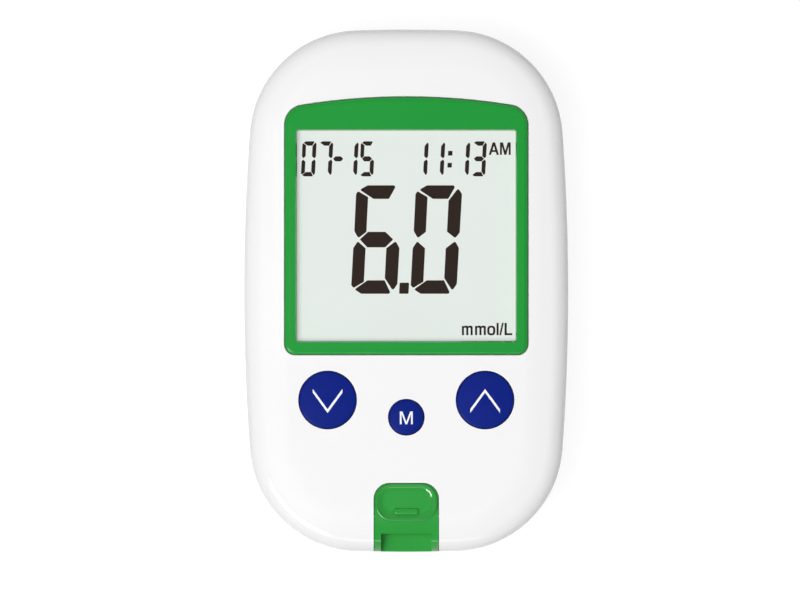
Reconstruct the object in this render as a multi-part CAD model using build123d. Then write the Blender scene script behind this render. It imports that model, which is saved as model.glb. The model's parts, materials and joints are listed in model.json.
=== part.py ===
from build123d import *
from functools import cache
from math import atan2, cos, hypot, pi, radians, sin, sqrt, tan
import os

# Blood glucose meter: a pocket instrument that lies on its back, display up.
# Frame: +Z out of the display, +Y towards the top of the display, -Y towards the test strip port,
# origin on the table under the middle of the case. All sizes are in millimetres.

# --- Case outline: four shallow arcs joined by four large corner arcs ---
CASE_LENGTH = 88.0
CASE_WIDTH = 54.6
SIDE_RADIUS = 370.0
END_RADIUS = 259.0
CORNER_RADIUS = 18.5

# --- Case sections ---
FOOT_PROUD = 0.6            # feet below the back of the case
REAR_DEPTH = 9.0            # back of the case to the parting line
FRONT_DEPTH = 12.4          # parting line to the middle of the front
WALL = 1.8
EDGE_SLOPE = 10.0           # degrees, slope that runs round the front, from the level
EDGE_DROP = 1.1             # foot of the slope below the middle of the front
SHOULDER_RADIUS = 15.0      # from the domed front into the slope
RIM_RADIUS = 3.3            # from the slope into the side
REAR_EDGE_RADIUS = 7.0
CROWN_RADIUS = 4000.0       # the front is a shallow dome
DOME_STOCK = 0.2            # stock above the middle of the front that the dome takes off
SEAM_CHAMFER = 0.2
LIP_HEIGHT = 1.2
LIP_CLEARANCE = 0.1

# --- General fits ---
SLIP = 0.15                 # sliding pieces
SNUG = 0.1                  # fixed pieces in their seats
TOUCH = 0.02                # faces that rest on each other

# --- Display bezel, lens and window ---
BEZEL_SIDE = 6.8            # side of the case to the bezel
BEZEL_ABOVE = 11.35         # top of the case to the highest point of the arch
BEZEL_BELOW = 33.2          # port end of the case to the bezel
ARCH_RADIUS = 112.0
BEZEL_TOP_CORNER = 3.4
BEZEL_BOTTOM_CORNER = 1.8
BEZEL_PROUD = 0.35
BEZEL_EDGE_RADIUS = 0.7
WINDOW_DRAFT = 15.0         # degrees, slope of the bezel's inner wall
BEZEL_SEAT_DEPTH = 1.25     # pocket floor below the middle of the front
DECK_THICKNESS = 0.8
DECK_MARGIN = 1.5
BEZEL_SIDE_BAND = 2.1       # bezel on each side of the window
BEZEL_TOP_BAND = 5.7
BEZEL_BOTTOM_BAND = 2.35
WINDOW_CORNER = 0.35
LENS_OVERLAP = 1.1          # lens hidden under the bezel, each side
LENS_THICKNESS = 0.7
LENS_CORNER = 1.0
VIEW_MARGIN = 0.5           # opening in the deck wider than the window, each side

# --- Liquid crystal display ---
GASKET_THICKNESS = 0.2
GASKET_WIDTH = 0.8
POLARISER_THICKNESS = 0.2
GLASS_THICKNESS = 0.75
CELL_GAP = 0.1
SEAL_WIDTH = 0.8
GLASS_MARGIN = 1.5          # glass beyond the window, each side
GLASS_CORNER = 0.3
CONTACT_LEDGE = 2.9         # front glass beyond the rear glass at the top
REFLECTOR_THICKNESS = 0.2
HOLDER_WALL = 1.0
HOLDER_FLOOR = 1.95
HOLDER_LEDGE = 1.3
HOLDER_CORNER = 3.0
ZEBRA_WIDTH = 1.8

# --- Circuit board ---
BOARD_THICKNESS = 1.0
BOARD_CLEARANCE = 0.9       # board edge to the case's inner wall
BOARD_TOP_SCREW_X = 8.0
BOARD_TOP_SCREW_INSET = 4.7     # from the top of the case
BOARD_SIDE_SCREW_INSET = 5.7    # from the side of the case
BOARD_SIDE_SCREW_RISE = 4.4     # above the middle of the side keys
BOARD_BOSS_RADIUS = 2.0
BOARD_SCREW_RADIUS = 0.9
BOARD_SCREW_HEAD_RADIUS = 1.7
BOARD_SCREW_HEAD = 1.1
BOARD_SCREW_BITE = 3.2

# --- Keys ---
SIDE_KEY_RADIUS = 4.8
SIDE_KEY_INSET = 14.05      # from the side of the case
SIDE_KEY_RISE = 25.6        # from the port end of the case
MEMORY_KEY_RADIUS = 2.95
MEMORY_KEY_RISE = 22.7
KEY_GAP = 0.15
KEY_PROUD = 0.45            # middle of the key above the front
KEY_CROWN = 0.3             # rise of the key's domed top
KEY_EDGE_RADIUS = 0.35
KEY_FLANGE = 0.85
KEY_FLANGE_THICKNESS = 0.9
KEY_SEAT_DEPTH = 1.6        # flange stop below the front
KEY_STEM_RADIUS = 1.4
DOME_HEIGHT = 0.9
DOME_RADIUS = 2.9
DOME_THICKNESS = 0.15

# --- Strip port cover and strip path ---
PORT_WIDTH = 10.8
PORT_LENGTH = 11.55
PORT_CORNER = 2.6
PORT_STEP = 0.55            # ledge round the thumb pad below the front
PORT_FLOOR_DEPTH = 5.4      # strip floor below the middle of the front
PORT_SLAB = 3.0
PORT_RAIL = 0.8
PORT_RAIL_HEIGHT = 1.0
PORT_SHELF = 1.2
PORT_CHEEK = 2.0
CHANNEL_WIDTH = 8.5
CHANNEL_LENGTH = 3.1
SLOT_WIDTH = 7.4
SLOT_HEIGHT = 1.4
TUNNEL_LENGTH = 5.8         # end of the case to the back of the slot wall
PAD_WIDTH = 10.45
PAD_LENGTH = 6.35
PAD_CORNER = 2.9
PAD_EDGE_RADIUS = 0.2
DISH_RIM = 0.3
DISH_DEPTH = 0.6            # at the middle of the pad
DISH_TILT = 6.0             # degrees, floor of the dish, deepest towards the slot
DISH_SHIFT = 0.25           # towards the display, which evens the rim
DISH_SLOPE = 40.0           # degrees, walls of the dish from the upright
DISH_BLEND = 1.4            # from the walls into the floor
RIDGE_WIDTH = 4.4           # thumb ridge across the dish
RIDGE_LENGTH = 1.2
RIDGE_HEIGHT = 0.55
RIDGE_CORNER = 0.58
RIDGE_EDGE_RADIUS = 0.52
RIDGE_OFFSET = 1.65         # from the middle of the pad towards the slot
PORT_SKIN = 1.0             # cover thickness under the dish

# --- Strip connector on the board ---
CONNECTOR_WIDTH = 9.0
CONNECTOR_LENGTH = 10.4
CONNECTOR_HEIGHT = 3.1
CONNECTOR_ROOF = 0.6
CONNECTOR_BACK = 1.4
FINGER_COUNT = 3
FINGER_PITCH = 2.1
FINGER_WIDTH = 1.0
FINGER_THICKNESS = 0.2
FINGER_FOOT = 1.6

# --- Batteries and their chamber ---
BATTERY_DIAMETER = 10.4
BATTERY_BODY = 43.4
BATTERY_NUB = 1.0
BATTERY_NUB_RADIUS = 1.9
BATTERY_PITCH = 11.2
BATTERY_EDGE = 0.5
BATTERY_LIFT = 0.3          # above the door
CHAMBER_INSET = 8.7         # from the top of the case
CHAMBER_SIDE_GAP = 0.4
CHAMBER_WALL = 1.2
CHAMBER_ROOF = 1.0
SPRING_LENGTH = 3.2
SPRING_WIRE_RADIUS = 0.28
SPRING_TURNS = 3
SPRING_BASE_RADIUS = 3.3
SPRING_CONE = 15.0          # degrees
CONTACT_THICKNESS = 0.35
CONTACT_SIZE = 8.0
TAIL_WIDTH = 2.0
TAIL_PROUD = 0.5            # contact tail above the board
BRIDGE_HEIGHT = 3.0

# --- Battery door ---
DOOR_WIDTH = 25.8
DOOR_THICKNESS = 1.4
DOOR_OVERHANG = 1.2         # door beyond the chamber's lower end
DOOR_END_HEIGHT = 6.4       # how far the door wraps up the end of the case
DOOR_END_LENGTH = 6.0       # wider part of the door at the end of the case
DOOR_END_EXTRA = 1.5        # each side
RAIL_WIDTH = 0.8
RAIL_HEIGHT = 0.65
RAIL_LIP = 0.6              # case wall under the rails
RAIL_BLOCK = 1.0
NOSE_LENGTH = 1.1
NOSE_WIDTH = 20.0
GRIP_WIDTH = 13.0
GRIP_LENGTH = 8.5
GRIP_DEPTH = 0.5
GRIP_RISE = 7.0             # lower edge of the door to the middle of the grip
GRIP_RIBS = 4
GRIP_RIB_WIDTH = 0.6
ARROW_SIZE = 2.8
ARROW_DEPTH = 0.25
ARROW_GAP = 2.0

# --- Case screws, feet, label and sounder slots ---
CASE_SCREW_INSET = 8.6      # from the ends of the case
POST_ROOM = 5.3             # side of the case to the room beside the chamber
CASE_BOSS_RADIUS = 2.6
POST_WALL = 0.6
CASE_SCREW_RADIUS = 1.0
CASE_SCREW_HEAD_RADIUS = 1.9
CASE_SCREW_HEAD = 1.3
CASE_SCREW_BITE = 6.0
COUNTERBORE_RADIUS = 2.3
COUNTERBORE_DEPTH = 4.4
THREAD_CLEARANCE = 0.03
RECESS_WIDTH = 0.6          # cross recess in the screw heads
RECESS_DEPTH = 0.6
FOOT_TOP_INSET = 24.0       # from the top of the case
FOOT_BOTTOM_INSET = 21.0    # from the port end of the case
FOOT_RADIUS = 2.2
FOOT_POCKET = 0.7
FOOT_EDGE = 0.3
LABEL_WIDTH = 22.0
LABEL_INSET = 10.5          # from the port end of the case
LABEL_GAP = 1.6             # to the sound slots
LABEL_CORNER = 1.0
LABEL_THICKNESS = 0.15
LABEL_RECESS = 0.25
SOUND_SLOTS = 5
SOUND_PITCH = 2.0
SOUND_WIDTH = 0.9
SOUND_LENGTH = 2.4
SOUND_GAP = 2.7             # to the door

# --- Components under the board ---
CHIP_SIZE = 7.0
CHIP_HEIGHT = 1.2
CHIP_LEG = 0.9
CHIP_LEG_WIDTH = 0.4
CHIP_LEG_PITCH = 1.0
CHIP_LEG_THICKNESS = 0.25
CHIP_LEGS = 6               # each side
CHIP_X = 12.0
BUZZER_RADIUS = 5.5
BUZZER_HEIGHT = 2.4
BUZZER_PORT_RADIUS = 0.9
BUZZER_PORT_DEPTH = 0.6
CRYSTAL_RADIUS = 1.0
CRYSTAL_LENGTH = 6.0
CRYSTAL_INSET = 9.8         # from the side of the case
RESISTOR_LENGTH = 1.6
RESISTOR_WIDTH = 0.8
RESISTOR_HEIGHT = 0.6
RESISTOR_COUNT = 6
RESISTOR_PITCH = 2.0
RESISTOR_X = -10.5
COMPONENT_GAP = 0.6         # components to the chamber wall

# --- Levels worked out from the sizes above ---
Z_BACK = FOOT_PROUD
Z_SPLIT = Z_BACK + REAR_DEPTH
Z_FRONT = Z_SPLIT + FRONT_DEPTH
Z_SEAT = Z_FRONT - BEZEL_SEAT_DEPTH
Z_LENS = Z_SEAT + LENS_THICKNESS
Z_DECK = Z_SEAT - DECK_THICKNESS
Z_POLARISER = Z_DECK - GASKET_THICKNESS
Z_GLASS = Z_POLARISER - POLARISER_THICKNESS
Z_CELL_TOP = Z_GLASS - GLASS_THICKNESS
Z_CELL_BOTTOM = Z_CELL_TOP - CELL_GAP
Z_REAR_GLASS = Z_CELL_BOTTOM - GLASS_THICKNESS
Z_REFLECTOR = Z_REAR_GLASS - REFLECTOR_THICKNESS
Z_BOARD_TOP = Z_REFLECTOR - HOLDER_FLOOR
Z_BOARD = Z_BOARD_TOP - BOARD_THICKNESS
Z_DOOR = Z_BACK + DOOR_THICKNESS
Z_BATTERY = Z_DOOR + BATTERY_LIFT + BATTERY_DIAMETER / 2
Z_ROOF = Z_BATTERY + BATTERY_DIAMETER / 2 + BATTERY_LIFT
Z_DOOR_END = Z_BACK + DOOR_END_HEIGHT
Z_RAIL = Z_BACK + RAIL_LIP + SLIP
Z_RAIL_TOP = Z_RAIL + RAIL_HEIGHT
Z_STRIP = Z_FRONT - PORT_FLOOR_DEPTH
Z_PORT = Z_STRIP - PORT_SLAB
Z_HEAD_SEAT = Z_BACK + COUNTERBORE_DEPTH

# --- Plan positions worked out from the sizes above ---
CASE_END = -CASE_LENGTH / 2
CASE_TOP = CASE_LENGTH / 2
CASE_SIDE = CASE_WIDTH / 2
BEZEL_WIDTH = CASE_WIDTH - 2 * BEZEL_SIDE
BEZEL_TOP = CASE_TOP - BEZEL_ABOVE
BEZEL_BOTTOM = CASE_END + BEZEL_BELOW
WINDOW_WIDTH = BEZEL_WIDTH - 2 * BEZEL_SIDE_BAND
WINDOW_TOP = BEZEL_TOP - BEZEL_TOP_BAND
WINDOW_BOTTOM = BEZEL_BOTTOM + BEZEL_BOTTOM_BAND
SIDE_KEY_X = CASE_SIDE - SIDE_KEY_INSET
SIDE_KEY_Y = CASE_END + SIDE_KEY_RISE
BATTERY_X = BATTERY_PITCH / 2
CHAMBER_HALF = BATTERY_X + BATTERY_DIAMETER / 2 + CHAMBER_SIDE_GAP
CHAMBER_TOP = CASE_TOP - CHAMBER_INSET
CHAMBER_LENGTH = BATTERY_NUB + BATTERY_BODY + SPRING_LENGTH + 2 * CONTACT_THICKNESS + 5 * TOUCH
CHAMBER_BOTTOM = CHAMBER_TOP - CHAMBER_LENGTH
PLATE_FACE = CHAMBER_BOTTOM + TOUCH + CONTACT_THICKNESS
COMPONENT_TOP = CHAMBER_BOTTOM - CHAMBER_WALL - COMPONENT_GAP
DOOR_BOTTOM = CHAMBER_BOTTOM - DOOR_OVERHANG
DOOR_END_START = CASE_TOP - DOOR_END_LENGTH
DOOR_END_HALF = DOOR_WIDTH / 2 + DOOR_END_EXTRA
BLOCK_HALF = DOOR_END_HALF + SLIP + RAIL_BLOCK
TUNNEL_END = CASE_END + TUNNEL_LENGTH
PORT_INNER = CASE_END + PORT_LENGTH
PAD_Y = PORT_INNER - PAD_LENGTH / 2
GRIP_Y = DOOR_BOTTOM + GRIP_RISE
SOUND_Y = DOOR_BOTTOM - SOUND_GAP - SOUND_LENGTH / 2
LABEL_BOTTOM = CASE_END + LABEL_INSET
LABEL_TOP = SOUND_Y - SOUND_LENGTH / 2 - LABEL_GAP
CASE_SCREW_X = (CHAMBER_HALF + CHAMBER_WALL + CASE_SIDE - POST_ROOM) / 2
FOOT_X = (DOOR_WIDTH / 2 + RAIL_WIDTH + SLIP + CASE_SIDE - REAR_EDGE_RADIUS) / 2
FAR = 2 * CASE_LENGTH       # beyond everything

KEYS = {
    "down": ((-SIDE_KEY_X, SIDE_KEY_Y), SIDE_KEY_RADIUS),
    "up": ((SIDE_KEY_X, SIDE_KEY_Y), SIDE_KEY_RADIUS),
    "memory": ((0, CASE_END + MEMORY_KEY_RISE), MEMORY_KEY_RADIUS),
}
CASE_SCREW_Y = CASE_TOP - CASE_SCREW_INSET
CASE_SCREWS = [(x, y) for x in (CASE_SCREW_X, -CASE_SCREW_X) for y in (CASE_SCREW_Y, -CASE_SCREW_Y)]
BOARD_SCREWS = [
    (BOARD_TOP_SCREW_X, CASE_TOP - BOARD_TOP_SCREW_INSET),
    (-BOARD_TOP_SCREW_X, CASE_TOP - BOARD_TOP_SCREW_INSET),
    (CASE_SIDE - BOARD_SIDE_SCREW_INSET, SIDE_KEY_Y + BOARD_SIDE_SCREW_RISE),
    (BOARD_SIDE_SCREW_INSET - CASE_SIDE, SIDE_KEY_Y + BOARD_SIDE_SCREW_RISE),
]
FOOT_ROWS = (CASE_TOP - FOOT_TOP_INSET, CASE_END + FOOT_BOTTOM_INSET)
FEET = [(x, y) for x in (FOOT_X, -FOOT_X) for y in FOOT_ROWS]


def slab(x, y, z):
    """Box between pairs of limits; a single x is the half width of a box centred on x = 0."""
    limits = [x if isinstance(x, tuple) else (-x, x), y, z]
    centre = [(low + high) / 2 for low, high in limits]
    return Pos(*centre) * Box(*[high - low for low, high in limits])


def rod(place, radius, low, high):
    """Upright cylinder between two levels."""
    return Pos(*place, (low + high) / 2) * Cylinder(radius, high - low)


def arc(centre, radius, start, end):
    """Arc about a centre between two angles in radians."""
    angles = (start, (start + end) / 2, end)
    return ThreePointArc(*[(centre[0] + radius * cos(a), centre[1] + radius * sin(a)) for a in angles])


def outline(inset):
    """Plan outline of the case, moved inwards by inset on every side."""
    side_x = CASE_SIDE - SIDE_RADIUS
    end_y = CASE_TOP - END_RADIUS
    to_side = SIDE_RADIUS - CORNER_RADIUS
    to_end = END_RADIUS - CORNER_RADIUS
    span = hypot(side_x, end_y)
    along = (to_side**2 - to_end**2 + span**2) / (2 * span)
    across = sqrt(to_side**2 - along**2)
    corner_x = side_x - (along * side_x + across * end_y) / span
    corner_y = (along * end_y - across * side_x) / span
    side_angle = atan2(corner_y, corner_x - side_x)
    end_angle = atan2(corner_y - end_y, corner_x)
    quarter = [
        arc((side_x, 0), SIDE_RADIUS - inset, 0, side_angle),
        arc((corner_x, corner_y), CORNER_RADIUS - inset, side_angle, end_angle),
        arc((0, end_y), END_RADIUS - inset, end_angle, pi / 2),
    ]
    half = quarter + [edge.mirror(Plane.YZ) for edge in quarter]
    return make_face(Curve() + half + [edge.mirror(Plane.XZ) for edge in half])


def dome_over(radius, apex):
    """Ball whose highest point is at apex; its poles lie level, far outside the case."""
    return Pos(0, 0, apex - radius) * Rot(0, 90, 0) * Sphere(radius)


def front_level(place):
    """Height of the domed front over a point."""
    return Z_FRONT - CROWN_RADIUS + sqrt(CROWN_RADIUS**2 - place[0] ** 2 - place[1] ** 2)


Z_PAD = front_level((0, PAD_Y))
Z_DISH = Z_PAD - DISH_DEPTH - PAD_LENGTH / 2 * sin(radians(DISH_TILT))


@cache
def front_body(inset=0.0):
    """Everything in front of the parting line, moved inwards by inset; a rounded slope runs round it."""
    height = DOME_STOCK + EDGE_DROP + inset * (tan(radians(90 - EDGE_SLOPE) / 2) - 1)
    body = Pos(0, 0, Z_SPLIT) * extrude(outline(inset), FRONT_DEPTH + DOME_STOCK - inset)
    top = body.faces().sort_by(Axis.Z)[-1]
    body = chamfer(top.edges(), height / tan(radians(EDGE_SLOPE)), height, reference=top)
    sides = body.faces().filter_by(GeomType.CYLINDER)
    body = fillet([side.edges().sort_by(Axis.Z)[-1] for side in sides], RIM_RADIUS - inset)
    body &= dome_over(CROWN_RADIUS - inset, Z_FRONT - inset)
    shoulder = body.faces().sort_by(Axis.Z)[-1].outer_wire().edges()
    return fillet(shoulder, SHOULDER_RADIUS - inset)


@cache
def rear_body(inset=0.0, top=Z_SPLIT):
    """Everything behind the level top, moved inwards by inset."""
    floor = Z_BACK + inset
    body = Pos(0, 0, floor) * extrude(outline(inset), top - floor)
    rim = body.faces().sort_by(Axis.Z)[0].outer_wire().edges()
    return fillet(rim, REAR_EDGE_RADIUS - inset)


def seam_bevel(body):
    """Bevels the outer edge at the parting line; two bevels leave a fine V groove."""
    edge = body.edges().filter_by_position(Axis.Z, Z_SPLIT - TOUCH, Z_SPLIT + TOUCH)
    return chamfer(edge, SEAM_CHAMFER)


def bezel_outline(margin=0.0):
    """Arched display surround, grown by margin on every side."""
    half = BEZEL_WIDTH / 2 + margin
    top = BEZEL_TOP + margin
    bottom = BEZEL_BOTTOM - margin
    radius = ARCH_RADIUS + margin
    shoulder = top - radius + sqrt(radius**2 - half**2)
    arch = ThreePointArc((half, shoulder), (0, top), (-half, shoulder))
    sides = Polyline((-half, shoulder), (-half, bottom), (half, bottom), (half, shoulder))
    face = make_face(Curve() + [arch, sides])
    face = fillet(face.vertices().sort_by(Axis.Y)[:2], BEZEL_BOTTOM_CORNER + margin)
    return fillet(face.vertices().sort_by(Axis.Y)[-2:], BEZEL_TOP_CORNER + margin)


def window(margin, low, high, corner=GLASS_CORNER, extra_top=0.0, taper=0.0):
    """Block over the display window, grown by margin on every side."""
    bottom = WINDOW_BOTTOM - margin
    top = WINDOW_TOP + margin + extra_top
    sketch = Pos(0, (bottom + top) / 2) * RectangleRounded(WINDOW_WIDTH + 2 * margin, top - bottom, corner)
    return Pos(0, 0, low) * extrude(sketch, high - low, taper=taper)


def port_block(margin=0.0):
    """Upright block over the port cover: square at the end of the case and rounded inside it."""
    inner = PORT_INNER + margin
    sketch = Pos(0, (inner - FAR) / 2) * Rectangle(PORT_WIDTH + 2 * margin, inner + FAR)
    sketch = fillet(sketch.vertices().sort_by(Axis.Y)[-2:], PORT_CORNER + margin)
    return Pos(0, 0, Z_PORT - margin) * extrude(sketch, FAR)


def port_rail(margin=0.0):
    """Side rails at the foot of the port cover, grown by margin."""
    half = PORT_WIDTH / 2 + PORT_RAIL + margin
    return slab(half, (-FAR, TUNNEL_END + margin), (Z_PORT - margin, Z_PORT + PORT_RAIL_HEIGHT + margin))


def label_block(margin, depth):
    """Block over the rating label, grown by margin, reaching depth into the back."""
    sketch = Pos(0, (LABEL_BOTTOM + LABEL_TOP) / 2) * RectangleRounded(
        LABEL_WIDTH + 2 * margin, LABEL_TOP - LABEL_BOTTOM + 2 * margin, LABEL_CORNER + margin
    )
    return Pos(0, 0, Z_BACK) * extrude(sketch, depth)


def tail_slot(side):
    """Slot for a contact's tail through the chamber roof and the board."""
    x = side * BATTERY_X
    half = TAIL_WIDTH / 2 + SNUG
    end = PLATE_FACE + SNUG
    return slab((x - half, x + half), (CHAMBER_BOTTOM, end), (Z_ROOF - 1, Z_BOARD_TOP + 1))


def front_cover():
    """Front half of the case with its display deck, screw bosses and strip port cheeks."""
    cover = seam_bevel(front_body()) - front_body(WALL)
    skin = front_body(WALL / 2)
    cover += (Pos(0, 0, Z_DECK) * extrude(bezel_outline(DECK_MARGIN), FRONT_DEPTH)) & skin
    for place in CASE_SCREWS:
        cover += rod(place, CASE_BOSS_RADIUS, Z_SPLIT, Z_FRONT) & skin
    for place in BOARD_SCREWS:
        cover += rod(place, BOARD_BOSS_RADIUS, Z_BOARD_TOP, Z_FRONT) & skin
    cheek = PORT_WIDTH / 2 + PORT_RAIL + PORT_CHEEK
    cover += slab(cheek, (CASE_END, TUNNEL_END), (Z_PORT - PORT_SHELF, Z_STRIP)) & skin
    rebate = outline(WALL / 2) - outline(WALL + LIP_CLEARANCE)
    cover -= Pos(0, 0, Z_SPLIT) * extrude(rebate, LIP_HEIGHT + SLIP)
    cover -= Pos(0, 0, Z_SEAT) * extrude(bezel_outline(SNUG), FRONT_DEPTH)
    cover -= window(VIEW_MARGIN, Z_DECK - 1, Z_SEAT + 1)
    cover -= window(GLASS_MARGIN + HOLDER_WALL + 2 * SNUG, Z_BOARD_TOP, Z_DECK, HOLDER_CORNER, CONTACT_LEDGE)
    for place, radius in KEYS.values():
        seat = front_level(place) - KEY_SEAT_DEPTH
        cover -= rod(place, radius + KEY_GAP, seat - 1, Z_FRONT + 1)
        cover -= rod(place, radius + KEY_FLANGE + SLIP, Z_BOARD_TOP, seat)
    cover -= port_block(SNUG)
    cover -= port_rail(SNUG)
    for place in CASE_SCREWS:
        pilot = CASE_SCREW_RADIUS + THREAD_CLEARANCE
        cover -= rod(place, pilot, Z_SPLIT - 1, Z_SPLIT + CASE_SCREW_BITE + SLIP)
    for place in BOARD_SCREWS:
        pilot = BOARD_SCREW_RADIUS + THREAD_CLEARANCE
        cover -= rod(place, pilot, Z_BOARD_TOP - 1, Z_BOARD_TOP + BOARD_SCREW_BITE + SLIP)
    return cover


def battery_housing():
    """Solid block of the battery chamber, door rails and end wall, before it is cut out."""
    tub_low = CHAMBER_BOTTOM - CHAMBER_WALL
    tub_high = CHAMBER_TOP + CHAMBER_WALL
    tub = slab(CHAMBER_HALF + CHAMBER_WALL, (tub_low, tub_high), (Z_BACK, Z_ROOF + CHAMBER_ROOF))
    rail_low = DOOR_BOTTOM - NOSE_LENGTH - RAIL_BLOCK
    rails = slab(BLOCK_HALF, (rail_low, CASE_TOP), (Z_BACK, Z_RAIL_TOP + SLIP + RAIL_BLOCK))
    end_top = Z_DOOR_END + SLIP + CHAMBER_WALL
    end = slab(BLOCK_HALF, (CHAMBER_TOP, CASE_TOP), (Z_BACK, end_top))
    hollow = rear_body(DOOR_THICKNESS + SLIP + CHAMBER_WALL)
    end -= hollow & slab(BLOCK_HALF - CHAMBER_WALL, (tub_high, CASE_TOP), (Z_BACK, end_top))
    return tub + rails + end


def door_bay():
    """Space in the back of the case for the door, its rails and its nose."""
    low = DOOR_BOTTOM - SLIP
    high = Z_DOOR_END + SLIP
    bay = slab(DOOR_WIDTH / 2 + SLIP, (low, FAR), (-FAR, high))
    bay += slab(DOOR_END_HALF + SLIP, (DOOR_END_START - SLIP, FAR), (-FAR, high))
    bay -= rear_body(DOOR_THICKNESS + SLIP, Z_FRONT)
    groove = (Z_RAIL - SLIP, Z_RAIL_TOP + SLIP)
    bay += slab(DOOR_WIDTH / 2 + RAIL_WIDTH + SLIP, (low, FAR), groove)
    return bay + slab(NOSE_WIDTH / 2 + SLIP, (low - NOSE_LENGTH, low + 1), groove)


def rear_cover():
    """Rear half of the case with the battery chamber, door rails and screw posts."""
    cover = seam_bevel(rear_body()) - rear_body(WALL, Z_FRONT)
    lip = outline(WALL / 2 + LIP_CLEARANCE) - outline(WALL)
    cover += Pos(0, 0, Z_SPLIT - WALL) * extrude(lip, WALL + LIP_HEIGHT)
    skin = rear_body(WALL / 2, Z_FRONT)
    for place in CASE_SCREWS:
        cover += rod(place, COUNTERBORE_RADIUS + POST_WALL, Z_BACK, Z_SPLIT - TOUCH) & skin
    cover += battery_housing() & skin
    cover -= door_bay()
    cover -= slab(CHAMBER_HALF, (CHAMBER_BOTTOM, CHAMBER_TOP), (Z_BACK, Z_ROOF))
    cover -= tail_slot(-1)
    cover -= tail_slot(1)
    for place in CASE_SCREWS:
        cover -= rod(place, COUNTERBORE_RADIUS, Z_BACK - 1, Z_HEAD_SEAT)
        cover -= rod(place, CASE_SCREW_RADIUS + SLIP, Z_BACK, Z_SPLIT + 1)
    for place in FEET:
        cover -= rod(place, FOOT_RADIUS + SNUG, Z_BACK - 1, Z_BACK + FOOT_POCKET)
    cover -= label_block(SNUG, LABEL_RECESS)
    for index in range(SOUND_SLOTS):
        x = (index - (SOUND_SLOTS - 1) / 2) * SOUND_PITCH
        slot = SlotOverall(SOUND_LENGTH, SOUND_WIDTH, 90)
        cover -= Pos(x, SOUND_Y, 0) * extrude(slot, Z_SPLIT / 2)
    return cover


def thumb_grip():
    """Oval thumb recess in the door, with ribs left standing across it."""
    oval = Pos(0, GRIP_Y) * Ellipse(GRIP_WIDTH / 2, GRIP_LENGTH / 2)
    recess = extrude(oval, Z_BACK + GRIP_DEPTH)
    pitch = GRIP_LENGTH / (GRIP_RIBS + 1)
    for index in range(GRIP_RIBS):
        y = GRIP_Y + (index - (GRIP_RIBS - 1) / 2) * pitch
        recess -= slab(GRIP_WIDTH, (y - GRIP_RIB_WIDTH / 2, y + GRIP_RIB_WIDTH / 2), (0, Z_DOOR))
    return recess


def battery_door():
    """Sliding door that wraps up the end of the case, with rails, nose, thumb grip and arrow."""
    shell = rear_body() - rear_body(DOOR_THICKNESS, Z_FRONT)
    plan = slab(DOOR_WIDTH / 2, (DOOR_BOTTOM, FAR), (0, Z_DOOR_END))
    plan += slab(DOOR_END_HALF, (DOOR_END_START, FAR), (0, Z_DOOR_END))
    door = shell & plan
    rail = (Z_RAIL, Z_RAIL_TOP)
    door += slab(DOOR_WIDTH / 2 + RAIL_WIDTH, (DOOR_BOTTOM, DOOR_END_START + 1), rail)
    nose_end = DOOR_BOTTOM - NOSE_LENGTH + SLIP
    door += slab(NOSE_WIDTH / 2, (nose_end, DOOR_BOTTOM + 1), rail)
    door -= thumb_grip()
    arrow = Polygon((-ARROW_SIZE, 0), (ARROW_SIZE, 0), (0, ARROW_SIZE), align=None)
    door -= Pos(0, GRIP_Y + GRIP_LENGTH / 2 + ARROW_GAP, 0) * extrude(arrow, Z_BACK + ARROW_DEPTH)
    return door


def display_bezel():
    """Proud surround of the display, with a rebate underneath for the lens."""
    bezel = Pos(0, 0, Z_SEAT) * extrude(bezel_outline(), FRONT_DEPTH)
    bezel &= dome_over(CROWN_RADIUS + BEZEL_PROUD, Z_FRONT + BEZEL_PROUD)
    bezel = fillet(bezel.faces().sort_by(Axis.Z)[-1].outer_wire().edges(), BEZEL_EDGE_RADIUS)
    bezel -= window(0, Z_LENS, Z_FRONT + 1, WINDOW_CORNER, taper=-WINDOW_DRAFT)
    return bezel - window(LENS_OVERLAP + SNUG, Z_SEAT - 1, Z_LENS + TOUCH, LENS_CORNER)


def lcd_parts():
    """Layers of the liquid crystal display, its gasket, holder and edge connector."""
    rim = GLASS_MARGIN
    ledge = CONTACT_LEDGE
    gasket = window(rim, Z_POLARISER, Z_DECK)
    seal = window(rim, Z_CELL_BOTTOM, Z_CELL_TOP)
    holder = window(rim + SNUG + HOLDER_WALL, Z_BOARD_TOP, Z_GLASS, HOLDER_CORNER, ledge)
    holder -= window(rim + SNUG, Z_CELL_TOP, Z_DECK, extra_top=ledge)
    holder -= window(rim + SNUG, Z_REFLECTOR, Z_DECK)
    holder -= window(rim - HOLDER_LEDGE, Z_BOARD, Z_DECK)
    y = WINDOW_TOP + rim + SNUG + ledge / 2
    across = (y - ZEBRA_WIDTH / 2, y + ZEBRA_WIDTH / 2)
    half = WINDOW_WIDTH / 2 + rim - HOLDER_WALL
    holder -= slab(half + SNUG, (across[0] - SNUG, across[1] + SNUG), (Z_BOARD, Z_DECK))
    return {
        "lcd_gasket": gasket - window(rim - GASKET_WIDTH, Z_GLASS, Z_DECK + 1),
        "lcd_polariser": window(rim, Z_GLASS, Z_POLARISER),
        "lcd_front_glass": window(rim, Z_CELL_TOP, Z_GLASS, extra_top=ledge),
        "lcd_seal": seal - window(rim - SEAL_WIDTH, Z_REFLECTOR, Z_DECK),
        "lcd_rear_glass": window(rim, Z_REAR_GLASS, Z_CELL_BOTTOM),
        "lcd_reflector": window(rim, Z_REFLECTOR, Z_REAR_GLASS),
        "lcd_holder": holder,
        "zebra_connector": slab(half, across, (Z_BOARD_TOP, Z_CELL_TOP)),
    }


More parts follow.
